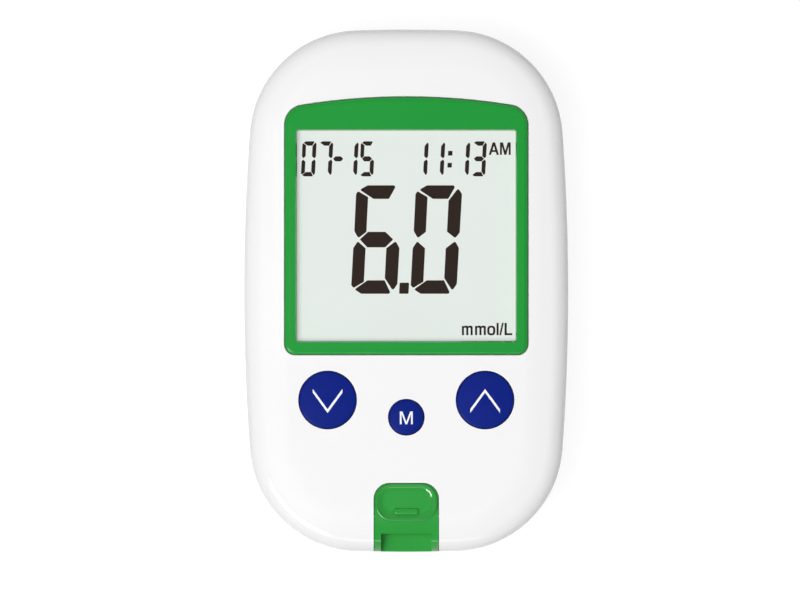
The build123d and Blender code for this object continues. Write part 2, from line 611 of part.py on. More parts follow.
def key_cap(place, radius):
    """Round key with a domed top, a retaining flange and a stem down to its snap dome."""
    seat = front_level(place) - KEY_SEAT_DEPTH - TOUCH
    peak = front_level(place) + KEY_PROUD
    ball = (radius**2 + KEY_CROWN**2) / (2 * KEY_CROWN)
    cap = rod(place, radius, seat - KEY_FLANGE_THICKNESS, peak + 1) & (
        Pos(*place, peak - ball) * Rot(0, 90, 0) * Sphere(ball)
    )
    cap = fillet(cap.faces().sort_by(Axis.Z)[-1].outer_wire().edges(), KEY_EDGE_RADIUS)
    cap += rod(place, radius + KEY_FLANGE, seat - KEY_FLANGE_THICKNESS, seat)
    return cap + rod(place, KEY_STEM_RADIUS, Z_BOARD_TOP + DOME_HEIGHT + TOUCH, seat)


def ball_cap(radius, height):
    """Cap of a ball standing on z = 0."""
    ball = (radius**2 + height**2) / (2 * height)
    return (Pos(0, 0, height - ball) * Sphere(ball)) & rod((0, 0), radius + 1, 0, height + 1)


def snap_dome(place):
    """Thin metal dome that stands on the board under a key."""
    dome = ball_cap(DOME_RADIUS, DOME_HEIGHT)
    dome -= ball_cap(DOME_RADIUS - DOME_THICKNESS, DOME_HEIGHT - DOME_THICKNESS)
    return Pos(*place, Z_BOARD_TOP) * dome


def pad_plan(margin=0.0):
    """Plan of the port cover's thumb pad about its own middle, grown by margin on every side."""
    return RectangleRounded(PAD_WIDTH + 2 * margin, PAD_LENGTH + 2 * margin, PAD_CORNER + margin)


def thumb_pad():
    """Thumb pad that follows the domed front, with a rounded edge."""
    pad = (Pos(0, PAD_Y, Z_STRIP) * extrude(pad_plan(), FAR)) & dome_over(CROWN_RADIUS, Z_FRONT)
    return fillet(pad.faces().sort_by(Axis.Z)[-1].outer_wire().edges(), PAD_EDGE_RADIUS)


def on_dish(shape):
    """Places a shape drawn about the middle of the pad on the tipped floor of the dish."""
    return Pos(0, PAD_Y, Z_PAD) * Rot(DISH_TILT, 0, 0) * Pos(0, 0, -DISH_DEPTH) * shape


def thumb_dish():
    """Space scooped out of the thumb pad: sloping walls that blend into the floor."""
    reach = DISH_RIM + DISH_DEPTH * tan(radians(DISH_SLOPE))
    dish = Pos(0, DISH_SHIFT) * extrude(pad_plan(-reach), 3 * DISH_DEPTH, taper=-DISH_SLOPE)
    return on_dish(fillet(dish.faces().sort_by(Axis.Z)[0].outer_wire().edges(), DISH_BLEND))


def thumb_ridge():
    """Low rounded ridge across the dish."""
    plan = Pos(0, -RIDGE_OFFSET) * RectangleRounded(RIDGE_WIDTH, RIDGE_LENGTH, RIDGE_CORNER)
    foot = PORT_SKIN / 2
    ridge = Pos(0, 0, -foot) * extrude(plan, foot + RIDGE_HEIGHT)
    return on_dish(fillet(ridge.faces().sort_by(Axis.Z)[-1].outer_wire().edges(), RIDGE_EDGE_RADIUS))


def strip_port_cover():
    """Port cover: strip channel and slot, a stepped ledge and a dished thumb pad with a ridge."""
    cover = (port_block() + port_rail()) & (Pos(0, 0, -PORT_STEP) * front_body())
    cover += thumb_pad()
    cover -= slab(FAR, (TUNNEL_END, FAR), (-FAR, Z_DISH - PORT_SKIN))
    mouth = CASE_END + CHANNEL_LENGTH
    cover -= slab(CHANNEL_WIDTH / 2, (-FAR, mouth), (Z_STRIP, FAR))
    cover -= slab(SLOT_WIDTH / 2, (mouth - 1, FAR), (Z_STRIP, Z_STRIP + SLOT_HEIGHT))
    return cover - thumb_dish() + thumb_ridge()


def strip_connector():
    """Socket on the board that takes the end of a test strip."""
    front = TUNNEL_END + 2 * SLIP
    back = front + CONNECTOR_LENGTH
    top = Z_BOARD_TOP + CONNECTOR_HEIGHT
    body = slab(CONNECTOR_WIDTH / 2, (front, back), (Z_BOARD_TOP, top))
    body -= slab(SLOT_WIDTH / 2, (front - 1, back - CONNECTOR_BACK), (Z_STRIP, top - CONNECTOR_ROOF))
    for x in finger_places():
        half = FINGER_WIDTH / 2 + SNUG
        opening = (finger_level() - FINGER_THICKNESS, finger_level() + FINGER_THICKNESS)
        body -= slab((x - half, x + half), (front + 1, back + 1), opening)
    return body


def finger_places():
    """Positions across the strip of the connector's fingers."""
    return [(index - (FINGER_COUNT - 1) / 2) * FINGER_PITCH for index in range(FINGER_COUNT)]


def finger_level():
    """Middle of the fingers where they leave the back of the connector."""
    return Z_BOARD_TOP + CONNECTOR_HEIGHT - CONNECTOR_ROOF - FINGER_THICKNESS


def strip_contacts():
    """Spring fingers of the strip connector, each with a solder foot behind the housing."""
    back = TUNNEL_END + 2 * SLIP + CONNECTOR_LENGTH
    level = finger_level()
    foot = Z_BOARD_TOP + FINGER_THICKNESS / 2 + TOUCH
    low = Z_STRIP + FINGER_THICKNESS
    reach = back - CONNECTOR_LENGTH / 2
    drop = back + 2 * FINGER_THICKNESS
    path = [(drop + FINGER_FOOT, foot), (drop, foot), (drop, level), (back - CONNECTOR_BACK, level)]
    path += [(reach, low), (reach - FINGER_FOOT / 2, level - FINGER_THICKNESS)]
    profile = trace(Polyline(*path), FINGER_THICKNESS)
    finger = Pos(-FINGER_WIDTH / 2, 0, 0) * extrude(Plane.YZ * profile, FINGER_WIDTH)
    return Compound(children=[Pos(x, 0, 0) * finger for x in finger_places()])


def battery_cell(side):
    """Cell along Y; the left one has its positive end towards the strip port."""
    direction = -1 if side < 0 else 1
    body = Cylinder(BATTERY_DIAMETER / 2, BATTERY_BODY)
    body = fillet(body.edges(), BATTERY_EDGE)
    body += Pos(0, 0, (BATTERY_BODY + BATTERY_NUB) / 2) * Cylinder(BATTERY_NUB_RADIUS, BATTERY_NUB)
    near = PLATE_FACE + TOUCH + (BATTERY_NUB if side < 0 else SPRING_LENGTH + TOUCH)
    return Pos(side * BATTERY_X, near + BATTERY_BODY / 2, Z_BATTERY) * Rot(-90 * direction, 0, 0) * body


def contact_plate(side, face):
    """Square contact plate at a chamber end; face is its lower y."""
    x = side * BATTERY_X
    half = CONTACT_SIZE / 2
    return slab((x - half, x + half), (face, face + CONTACT_THICKNESS), (Z_BATTERY - half, Z_BATTERY + half))


def tailed_contact(side):
    """Contact plate with a tail soldered into the board."""
    x = side * BATTERY_X
    across = (x - TAIL_WIDTH / 2, x + TAIL_WIDTH / 2)
    face = CHAMBER_BOTTOM + TOUCH
    tail = slab(across, (face, face + CONTACT_THICKNESS), (Z_BATTERY, Z_BOARD_TOP + TAIL_PROUD))
    return contact_plate(side, face) + tail


def link_contact():
    """Contact that joins the two cells at the far end of the chamber."""
    face = CHAMBER_TOP - TOUCH - CONTACT_THICKNESS
    rise = (Z_BATTERY - BRIDGE_HEIGHT / 2, Z_BATTERY + BRIDGE_HEIGHT / 2)
    bridge = slab(BATTERY_X, (face, face + CONTACT_THICKNESS), rise)
    return contact_plate(-1, face) + contact_plate(1, face) + bridge


def battery_springs():
    """Conical springs that press on the negative ends of the cells."""
    height = SPRING_LENGTH - 2 * SPRING_WIRE_RADIUS
    path = Helix(height / SPRING_TURNS, height, SPRING_BASE_RADIUS, cone_angle=-SPRING_CONE)
    section = Plane(origin=path @ 0, z_dir=path % 0) * Circle(SPRING_WIRE_RADIUS)
    spring = Pos(0, 0, SPRING_WIRE_RADIUS) * sweep(section, path=path)
    far_face = CHAMBER_TOP - 2 * TOUCH - CONTACT_THICKNESS
    near = Pos(BATTERY_X, PLATE_FACE + TOUCH, Z_BATTERY) * Rot(-90, 0, 0) * spring
    far = Pos(-BATTERY_X, far_face, Z_BATTERY) * Rot(90, 0, 0) * spring
    return Compound(children=[near, far])


def main_board():
    """Circuit board, notched round the screw posts and the strip port."""
    board = Pos(0, 0, Z_BOARD) * extrude(outline(WALL + BOARD_CLEARANCE), BOARD_THICKNESS)
    for place in CASE_SCREWS:
        board -= rod(place, CASE_BOSS_RADIUS + 2 * SLIP, Z_BOARD - 1, Z_BOARD_TOP + 1)
    for place in BOARD_SCREWS:
        board -= rod(place, BOARD_SCREW_RADIUS + SLIP, Z_BOARD - 1, Z_BOARD_TOP + 1)
    cheek = PORT_WIDTH / 2 + PORT_RAIL + PORT_CHEEK + 2 * SLIP
    board -= slab(cheek, (CASE_END, TUNNEL_END + 2 * SLIP), (Z_BOARD - 1, Z_BOARD_TOP + 1))
    return board - tail_slot(-1) - tail_slot(1)


def main_chip():
    """Flat chip under the board with legs on all four sides."""
    body = slab(CHIP_SIZE / 2, (-CHIP_SIZE / 2, CHIP_SIZE / 2), (-CHIP_HEIGHT, -TOUCH))
    reach = CHIP_SIZE / 2 + CHIP_LEG
    for index in range(CHIP_LEGS):
        place = (index - (CHIP_LEGS - 1) / 2) * CHIP_LEG_PITCH
        leg = (place - CHIP_LEG_WIDTH / 2, place + CHIP_LEG_WIDTH / 2)
        body += slab(leg, (-reach, reach), (-CHIP_LEG_THICKNESS, -TOUCH))
        body += slab((-reach, reach), leg, (-CHIP_LEG_THICKNESS, -TOUCH))
    return Pos(CHIP_X, COMPONENT_TOP - reach, Z_BOARD) * body


def board_components():
    """Chip, sounder, crystal and resistors soldered under the board."""
    top = Z_BOARD - TOUCH
    middle = (0, COMPONENT_TOP - BUZZER_RADIUS)
    buzzer = rod(middle, BUZZER_RADIUS, top - BUZZER_HEIGHT, top)
    buzzer -= rod(middle, BUZZER_PORT_RADIUS, 0, top - BUZZER_HEIGHT + BUZZER_PORT_DEPTH)
    place = (CRYSTAL_INSET - CASE_SIDE, COMPONENT_TOP - CRYSTAL_LENGTH / 2, top - CRYSTAL_RADIUS)
    crystal = Pos(*place) * Rot(90, 0, 0) * Cylinder(CRYSTAL_RADIUS, CRYSTAL_LENGTH)
    resistors = []
    for index in range(RESISTOR_COUNT):
        y = COMPONENT_TOP - RESISTOR_WIDTH / 2 - index * RESISTOR_PITCH
        size = Box(RESISTOR_LENGTH, RESISTOR_WIDTH, RESISTOR_HEIGHT)
        resistors.append(Pos(RESISTOR_X, y, top - RESISTOR_HEIGHT / 2) * size)
    return {
        "main_chip": main_chip(),
        "buzzer": buzzer,
        "crystal": crystal,
        "resistors": Compound(children=resistors),
    }


def screw(place, radius, head_radius, head, seat, tip):
    """Screw driven from the back, with a cross recess in its head."""
    low = seat - TOUCH - head
    body = rod(place, head_radius, low, seat - TOUCH) + rod(place, radius, seat - 1, tip)
    reach = head_radius - RECESS_WIDTH
    cross = Box(2 * reach, RECESS_WIDTH, 2 * RECESS_DEPTH) + Box(RECESS_WIDTH, 2 * reach, 2 * RECESS_DEPTH)
    return body - Pos(*place, low) * cross


def fasteners():
    """Case screws and board screws."""
    case_tip = Z_SPLIT + CASE_SCREW_BITE
    board_tip = Z_BOARD_TOP + BOARD_SCREW_BITE
    case = [
        screw(place, CASE_SCREW_RADIUS, CASE_SCREW_HEAD_RADIUS, CASE_SCREW_HEAD, Z_HEAD_SEAT, case_tip)
        for place in CASE_SCREWS
    ]
    board = [
        screw(place, BOARD_SCREW_RADIUS, BOARD_SCREW_HEAD_RADIUS, BOARD_SCREW_HEAD, Z_BOARD, board_tip)
        for place in BOARD_SCREWS
    ]
    return {"case_screws": Compound(children=case), "board_screws": Compound(children=board)}


def rubber_feet():
    """Round feet glued into pockets in the back."""
    feet = []
    for place in FEET:
        foot = rod(place, FOOT_RADIUS, 0, Z_BACK + FOOT_POCKET - TOUCH)
        feet.append(fillet(foot.edges().sort_by(Axis.Z)[:1], FOOT_EDGE))
    return Compound(children=feet)


def rating_label():
    """Blank label in its recess on the back."""
    return Pos(0, 0, LABEL_RECESS - TOUCH - LABEL_THICKNESS) * label_block(0, LABEL_THICKNESS)


def all_parts():
    """Every sub-part of the meter by node name."""
    parts = {
        "front_cover": front_cover(),
        "rear_cover": rear_cover(),
        "battery_door": battery_door(),
        "display_bezel": display_bezel(),
        "display_lens": window(LENS_OVERLAP, Z_SEAT, Z_LENS, LENS_CORNER),
        "main_board": main_board(),
        "strip_port_cover": strip_port_cover(),
        "strip_connector": strip_connector(),
        "strip_contacts": strip_contacts(),
        "battery_cell_left": battery_cell(-1),
        "battery_cell_right": battery_cell(1),
        "positive_contact": tailed_contact(-1),
        "negative_contact": tailed_contact(1),
        "link_contact": link_contact(),
        "battery_springs": battery_springs(),
        "rubber_feet": rubber_feet(),
        "rating_label": rating_label(),
    }
    for name, (place, radius) in KEYS.items():
        parts[f"key_{name}"] = key_cap(place, radius)
        parts[f"dome_{name}"] = snap_dome(place)
    return parts | lcd_parts() | board_components() | fasteners()


if __name__ == "__main__":
    os.makedirs("parts", exist_ok=True)
    for name, shape in all_parts().items():
        export_step(shape, f"parts/{name}.step")
        print(f"{name}: {len(shape.solids())} solid(s), {shape.volume:.1f} mm3")
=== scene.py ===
"""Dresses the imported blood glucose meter: finishes, key marks, display content and a plain studio."""

import json
import logging
import math
from abc import ABC, abstractmethod
from dataclasses import dataclass, field
from enum import Enum, IntFlag
from typing import Any, Callable, ClassVar

import bmesh
import bpy
from bmesh.types import BMesh, BMVert
from bpy.types import Camera, Light, Material, Mesh, Node, NodeSocket, NodeTree, Object
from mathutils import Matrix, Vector

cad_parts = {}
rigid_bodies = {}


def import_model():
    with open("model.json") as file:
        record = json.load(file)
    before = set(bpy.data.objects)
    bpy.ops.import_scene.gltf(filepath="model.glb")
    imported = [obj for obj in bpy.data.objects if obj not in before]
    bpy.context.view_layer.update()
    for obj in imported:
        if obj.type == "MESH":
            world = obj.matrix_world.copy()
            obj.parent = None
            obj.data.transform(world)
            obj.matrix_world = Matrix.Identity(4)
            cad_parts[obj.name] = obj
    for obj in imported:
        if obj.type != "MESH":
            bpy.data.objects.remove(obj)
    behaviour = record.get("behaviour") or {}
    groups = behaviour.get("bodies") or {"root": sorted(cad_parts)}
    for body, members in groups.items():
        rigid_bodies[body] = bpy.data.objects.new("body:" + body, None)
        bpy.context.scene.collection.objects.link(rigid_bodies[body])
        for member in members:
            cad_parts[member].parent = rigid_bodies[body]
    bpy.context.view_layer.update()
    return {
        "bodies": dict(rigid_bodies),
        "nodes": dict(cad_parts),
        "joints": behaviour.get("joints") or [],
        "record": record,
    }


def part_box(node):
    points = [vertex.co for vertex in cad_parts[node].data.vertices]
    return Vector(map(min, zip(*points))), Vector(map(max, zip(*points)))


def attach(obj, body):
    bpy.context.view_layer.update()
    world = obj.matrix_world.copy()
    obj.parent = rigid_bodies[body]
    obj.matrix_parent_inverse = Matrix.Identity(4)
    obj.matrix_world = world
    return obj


MM = 0.001
LINES_START = -1.0  # metres, well outside the meter: where patterns of lines begin
SAME_PLACE = 1e-7  # points nearer than this are one
SHORT_EDGE = 1e-8  # shorter edges are dissolved
CORNER_SHARE = 0.49  # most of a side that one round corner takes
Pair = tuple[float, float]
Triple = tuple[float, float, float]
Colour = Triple
Outline = list[Pair]
Corners = tuple[Triple, ...]
Inputs = dict[str | int, Any]
log = logging.getLogger("meter")


def srgb(red: int, green: int, blue: int) -> Colour:
    """Turns screen values, 0 to 255, into the linear colour that shaders take."""
    shares = (value / 255 for value in (red, green, blue))
    return tuple(s / 12.92 if s <= 0.04045 else ((s + 0.055) / 1.055) ** 2.4 for s in shares)


def tinted(colour: Colour, factor: float) -> Colour:
    """Returns the colour made lighter or darker by a factor, no lighter than white."""
    return tuple(min(1.0, value * factor) for value in colour)


def grey(level: float) -> Colour:
    """Returns the neutral colour of a linear level, where 1 is white."""
    return (level, level, level)


# ---- node trees


def operator(operation: str, turned: bool = False) -> Callable[..., "Signal"]:
    """Makes a method of Signal that adds one Math node.

    Args:
        operation: The node's operation.
        turned: Whether the signal itself comes last.

    Returns:
        The method.
    """

    def method(signal: "Signal", *others: "Signal | float") -> "Signal":
        """Returns the operation's result."""
        terms = enumerate((*others, signal) if turned else (signal, *others))
        return signal.net.signal(signal.net.node("ShaderNodeMath", dict(terms), operation=operation))

    return method


class Signal:
    """An output socket that takes part in Python's arithmetic through Math nodes."""

    __add__ = operator("ADD")
    __radd__ = operator("ADD", turned=True)
    __sub__ = operator("SUBTRACT")
    __rsub__ = operator("SUBTRACT", turned=True)
    __mul__ = operator("MULTIPLY")
    __rmul__ = operator("MULTIPLY", turned=True)
    __truediv__ = operator("DIVIDE")
    __mod__ = operator("FLOORED_MODULO")
    __abs__ = operator("ABSOLUTE")
    __gt__ = operator("GREATER_THAN")
    __lt__ = operator("LESS_THAN")
    floor = operator("FLOOR")
    root = operator("SQRT")
    most = operator("MAXIMUM")

    def __init__(self, net: "Net", socket: NodeSocket) -> None:
        """Wraps a socket of a node tree."""
        self.net = net
        self.socket = socket

    def between(self, low: float, high: float) -> "Signal":
        """Returns low where self is 0 and high where it is 1."""
        return low + (high - low) * self

    def about(self, value: float, spread: float) -> "Signal":
        """Returns the value, varied by self by a share of it, down and up."""
        return self.between(value * (1 - spread), value * (1 + spread))

    def lines(self, pitch: float, width: float) -> "Signal":
        """Returns 1 on lines of this width, one for each pitch, and 0 between them."""
        return ((self - LINES_START) % pitch) < width


class Net:
    """A node tree and the ways to add to it."""

    def __init__(self, tree: NodeTree) -> None:
        """Empties the tree and keeps it."""
        tree.nodes.clear()
        self.tree = tree

    def node(self, kind: str, inputs: Inputs | None = None, **settings: Any) -> Node:
        """Adds a node and gives it its settings, then its inputs.

        Args:
            kind: The node's type.
            inputs: Socket names or numbers with their values, signals, sockets or nodes.
            settings: The node's other properties.

        Returns:
            The new node.
        """
        made = self.tree.nodes.new(kind)
        for name, value in settings.items():
            setattr(made, name, value)
        for key, value in (inputs or {}).items():
            self.feed(made.inputs[key], value)
        return made

    def feed(self, socket: NodeSocket, value: Any) -> None:
        """Links or sets one input.

        Args:
            socket: The input.
            value: A signal, node or output socket to link, or a plain value to set.
        """
        if isinstance(value, Signal):
            value = value.socket
        if isinstance(value, Node):
            value = value.outputs[0]
        if isinstance(value, NodeSocket):
            self.tree.links.new(value, socket)
        elif isinstance(value, tuple) and socket.type == "RGBA":
            socket.default_value = (*value, 1.0)
        else:
            socket.default_value = value

    def signal(self, node: Node, output: str | int = 0) -> Signal:
        """Returns one output of a node as a signal."""
        return Signal(self, node.outputs[output])

    def place(self) -> NodeSocket:
        """Returns the place on the piece, in the meter's own coordinates, in metres."""
        return self.node("ShaderNodeTexCoord").outputs["Object"]

    def axes(self, vector: Node | NodeSocket) -> tuple[Signal, Signal, Signal]:
        """Returns the vector's three coordinates."""
        split = self.node("ShaderNodeSeparateXYZ", {0: vector})
        return tuple(self.signal(split, axis) for axis in "XYZ")

    def noise(self, size: float, detail: float, stretch: Triple = (1.0, 1.0, 1.0)) -> Signal:
        """Adds soft noise on the piece's coordinates.

        Args:
            size: Size of the blotches, in metres.
            detail: Levels of finer noise.
            stretch: Scale along each axis; below 1 draws the blotches out.

        Returns:
            The noise, 0 to 1.
        """
        spot = self.node("ShaderNodeMapping", {"Vector": self.place(), "Scale": stretch})
        inputs = {"Vector": spot, "Scale": 1 / size, "Detail": detail}
        return self.signal(self.node("ShaderNodeTexNoise", inputs), "Fac")

    def mix(self, factor: Signal | float, first: Any, second: Any) -> NodeSocket:
        """Mixes two colours or colour sockets: factor 0 gives the first, 1 the second."""
        made = self.node("ShaderNodeMix", {0: factor, 6: first, 7: second}, data_type="RGBA")
        return made.outputs[2]

    def shades(self, factor: Signal, colour: Colour, low: float, high: float) -> NodeSocket:
        """Mixes two tints of a colour: the low one where the factor is 0, the high one where it is 1."""
        return self.mix(factor, tinted(colour, low), tinted(colour, high))

    def bump(self, height: Signal, depth: float) -> NodeSocket:
        """Returns the normal of a relief, whose height of 1 is this depth in metres."""
        return self.node("ShaderNodeBump", {"Height": height, "Distance": depth}).outputs[0]

    def rays(self, *kinds: str) -> list[Signal]:
        """Returns for each kind of ray a signal that is 1 for such rays."""
        path = self.node("ShaderNodeLightPath")
        return [self.signal(path, f"Is {kind} Ray") for kind in kinds]


# ---- finishes


@dataclass(frozen=True)
class Finish(ABC):
    """A procedural surface that becomes one material, made when a piece first takes it."""

    name: str
    slot: str
    colour: Colour

    @abstractmethod
    def paint(self, net: Net) -> Inputs:
        """Adds the nodes that make the finish's pattern.

        Args:
            net: The material's node tree.

        Returns:
            The inputs of the finish's shader.
        """

    def material(self) -> Material:
        """Finds the finish's material, or else makes it.

        Returns:
            The material.
        """
        made = bpy.data.materials.get(self.name)
        if made is None:
            made = bpy.data.materials.new(self.name)
            made.use_nodes = True
            net = Net(made.node_tree)
            shader = net.node("ShaderNodeBsdfPrincipled", self.paint(net))
            net.node("ShaderNodeOutputMaterial", {"Surface": shader})
            made.diffuse_color = (*self.colour, 1.0)
        return made


@dataclass(frozen=True)
class MouldedPlastic(Finish):
    """Injection moulded plastic: faint clouding, an uneven shine and the mould's fine grain."""

    roughness: float = 0.3
    clouding: float = 0.03
    cloud: float = 9 * MM
    grain: float = 0.35 * MM
    grain_depth: float = 0.0015 * MM
    waviness: float = 0.0
    wave: float = 6 * MM
    specular: float = 0.5
    spread: float = 0.2

    def paint(self, net: Net) -> Inputs:
        """Paints the pattern.

        Args:
            net: The tree.

        Returns:
            The shader's inputs.
        """
        broad = net.noise(self.cloud, 3.0)
        fine = net.noise(self.grain, 2.0)
        relief = fine
        if self.waviness:
            relief = fine + self.waviness * net.noise(self.wave, 1.0)
        return {
            "Base Color": net.shades(broad, self.colour, 1 - self.clouding, 1 + self.clouding),
            "Roughness": (0.625 * broad + 0.375 * fine).about(self.roughness, self.spread),
            "Normal": net.bump(relief, self.grain_depth),
            "Specular IOR Level": self.specular,
        }


@dataclass(frozen=True)
class ClearPanel(Finish):
    """Clear plastic or glass: almost all light passes, with a thin film of haze and handling."""

    opacity: float
    roughness: float
    haze: float = 5 * MM
    spread: float = 0.3
    opacity_spread: float = 0.1
    ior: float = 1.49

    def paint(self, net: Net) -> Inputs:
        """Paints the pattern.

        Args:
            net: The tree.

        Returns:
            The shader's inputs.
        """
        haze = net.noise(self.haze, 4.0)
        return {
            "Base Color": self.colour,
            "Roughness": haze.about(self.roughness, self.spread),
            "Alpha": haze.about(self.opacity, self.opacity_spread),
            "IOR": self.ior,
        }


@dataclass(frozen=True)
class DisplayFilm(Finish):
    """The display's pale ground: a satin film with a very fine, even fleck. Its glow is painted light: an
    emission that lifts the ground evenly and paints out the shade that the window's walls cast on it.
    """

    roughness: float = 0.38
    glow: float = 0.0
    fleck: float = 0.12 * MM
    fleck_depth: float = 0.0006 * MM
    cloud: float = 14 * MM
    clouding: float = 0.02
    spread: float = 0.15
    specular: float = 0.3

    def paint(self, net: Net) -> Inputs:
        """Paints the pattern.

        Args:
            net: The tree.

        Returns:
            The shader's inputs.
        """
        fleck = net.noise(self.fleck, 1.0)
        shade = 0.7 * net.noise(self.cloud, 2.0) + 0.3 * fleck
        tints = 1 - self.clouding, 1 + self.clouding
        return {
            # Painted light: the base colour gives up the glow's share, and the emission puts that share back
            # as light of its own, so the ground looks evenly lit whatever shade falls on it.
            "Base Color": net.shades(shade, tinted(self.colour, 1 - self.glow), *tints),
            "Emission Color": net.shades(shade, self.colour, *tints),
            "Emission Strength": self.glow,
            "Roughness": fleck.about(self.roughness, self.spread),
            "Normal": net.bump(fleck, self.fleck_depth),
            "Specular IOR Level": self.specular,
        }


@dataclass(frozen=True)
class Ink(Finish):
    """A thin flat print or display segment, slightly uneven in density."""

    roughness: float
    specular: float = 0.3
    blotch: float = 0.6 * MM
    clouding: float = 0.06
    spread: float = 0.15

    def paint(self, net: Net) -> Inputs:
        """Paints the pattern.

        Args:
            net: The tree.

        Returns:
            The shader's inputs.
        """
        density = net.noise(self.blotch, 3.0)
        return {
            "Base Color": net.shades(density, self.colour, 1 - self.clouding, 1 + self.clouding),
            "Roughness": density.about(self.roughness, self.spread),
            "Specular IOR Level": self.specular,
        }


@dataclass(frozen=True)
class Metal(Finish):
    """Rolled or turned metal: drawn-out streaks in its shine and a light tarnish."""

    roughness: float
    streak: float = 0.4 * MM
    streak_depth: float = 0.001 * MM
    along: Triple = (1.0, 0.08, 1.0)
    spread: float = 0.3
    tarnish: float = 0.12
    tarnish_size: float = 2.5 * MM

    def paint(self, net: Net) -> Inputs:
        """Paints the pattern.

        Args:
            net: The tree.

        Returns:
            The shader's inputs.
        """
        streaks = net.noise(self.streak, 3.0, self.along)
        film = net.noise(self.tarnish_size, 3.0)
        return {
            "Base Color": net.shades(film, self.colour, 1 - self.tarnish, 1),
            "Metallic": 1.0,
            "Roughness": streaks.about(self.roughness, self.spread),
            "Normal": net.bump(streaks, self.streak_depth),
        }


@dataclass(frozen=True)
class Rubber(Finish):
    """Rubber, foam or cast resin: mostly matte, with open pores or a fine bloom."""

    pore: float
    pore_depth: float
    roughness: float
    bloom: float = 3 * MM
    bloom_tints: Pair = (0.85, 1.25)
    spread: float = 0.1
    specular: float = 0.3

    def paint(self, net: Net) -> Inputs:
        """Paints the pattern.

        Args:
            net: The tree.

        Returns:
            The shader's inputs.
        """
        pores = net.noise(self.pore, 4.0)
        bloom = net.noise(self.bloom, 3.0)
        return {
            "Base Color": net.shades(bloom, self.colour, *self.bloom_tints),
            "Roughness": pores.about(self.roughness, self.spread),
            "Normal": net.bump(pores, self.pore_depth),
            "Specular IOR Level": self.specular,
        }


@dataclass(frozen=True)
class ZebraStrip(Finish):
    """Elastomer that is conductive black and plain silicone by turns along its length."""

    carbon: Colour = srgb(28, 26, 26)
    pitch: float = 0.2 * MM
    grain: float = 0.1 * MM
    grain_depth: float = 0.002 * MM
    roughness: Pair = (0.5, 0.65)

    def paint(self, net: Net) -> Inputs:
        """Paints the pattern.

        Args:
            net: The tree.

        Returns:
            The shader's inputs.
        """
        along, _, _ = net.axes(net.place())
        grain = net.noise(self.grain, 2.0)
        return {
            "Base Color": net.mix(along.lines(self.pitch, self.pitch / 2), self.colour, self.carbon),
            "Roughness": grain.between(*self.roughness),
            "Normal": net.bump(grain, self.grain_depth),
        }


@dataclass(frozen=True)
class CircuitBoard(Finish):
    """Solder mask over copper runs, tinned round pads, and bare laminate at the cut edges.

    The scales of patches and pads are their numbers in a metre. The pads' radius is a share of their pitch.
    """

    mid_level: float = 15.3 * MM
    edge_reach: float = 0.49 * MM
    run_pitch: float = 0.9 * MM
    run_width: float = 0.27 * MM
    run_tint: float = 1.7
    patch_scale: float = 130.0
    pad_scale: float = 260.0
    pad_radius: float = 0.16
    weave: float = 0.4 * MM
    relief: float = 0.01 * MM
    roughness: Pair = (0.32, 0.40)
    edge_roughening: float = 0.3
    pad_metal: float = 0.8
    laminate: Colour = srgb(176, 160, 104)
    tin: Colour = srgb(205, 200, 190)

    def paint(self, net: Net) -> Inputs:
        """Paints the pattern.

        Args:
            net: The tree.

        Returns:
            The shader's inputs.
        """
        x, y, z = net.axes(net.place())
        patches = {"Vector": net.place(), "Scale": self.patch_scale}
        upright = net.signal(net.node("ShaderNodeTexVoronoi", patches, distance="CHEBYCHEV"), "Color") > 0.5
        across, down = (axis.lines(self.run_pitch, self.run_width) for axis in (x, y))
        runs = upright * across + (1.0 - upright) * down
        spots = {"Vector": net.place(), "Scale": self.pad_scale}
        pads = net.signal(net.node("ShaderNodeTexVoronoi", spots), "Distance") < self.pad_radius
        edge = abs(z - self.mid_level) < self.edge_reach
        face = net.mix(pads, net.shades(runs, self.colour, 1, self.run_tint), self.tin)
        weave = net.noise(self.weave, 2.0)
        return {
            "Base Color": net.mix(edge, face, self.laminate),
            "Metallic": self.pad_metal * pads * (1.0 - edge),
            "Roughness": weave.between(*self.roughness) + self.edge_roughening * edge,
            "Normal": net.bump(0.6 * runs + 0.4 * weave, self.relief),
        }


@dataclass(frozen=True)
class CellJacket(Finish):
    """Dry cell: a two-tone jacket, turned over at the ends, round bare metal caps.

    The starts of the band and the caps are shares of the cell's length from its middle, and the caps' radius
    is a share of the cell's.
    """

    axis: Pair = (5.6 * MM, 7.5 * MM)
    middle: float = 11.1 * MM
    shift: float = 1.11 * MM
    length: float = 43.4 * MM
    radius: float = 5.2 * MM
    band_start: float = 0.26
    cap_start: float = 0.49
    cap_radius: float = 0.86
    scuff: float = 1.2 * MM
    scuff_depth: float = 0.002 * MM
    wear: float = 0.12
    jacket_metal: float = 0.55
    roughness: Pair = (0.26, 0.40)
    band: Colour = srgb(196, 132, 58)
    cap: Colour = srgb(200, 202, 204)
    rubbed: Colour = grey(0.6)

    def paint(self, net: Net) -> Inputs:
        """Paints the pattern.

        Args:
            net: The tree.

        Returns:
            The shader's inputs.
        """
        x, y, z = net.axes(net.place())
        side = 2.0 * (x > 0.0) - 1.0
        along = y - self.middle - self.shift * side
        out = abs(x) - self.axis[0]
        up = z - self.axis[1]
        reach = (out * out + up * up).root()
        band = along * side > self.band_start * self.length
        bare = (abs(along) > self.cap_start * self.length) * (reach < self.cap_radius * self.radius)
        scuff = net.noise(self.scuff, 4.0, (1.0, 0.3, 1.0))
        jacket = net.mix(band, self.colour, self.band)
        worn = net.mix(self.wear * scuff, jacket, self.rubbed)
        return {
            "Base Color": net.mix(bare, worn, self.cap),
            "Metallic": bare.between(self.jacket_metal, 1.0),
            "Roughness": scuff.between(*self.roughness),
            "Normal": net.bump(scuff, self.scuff_depth),
        }


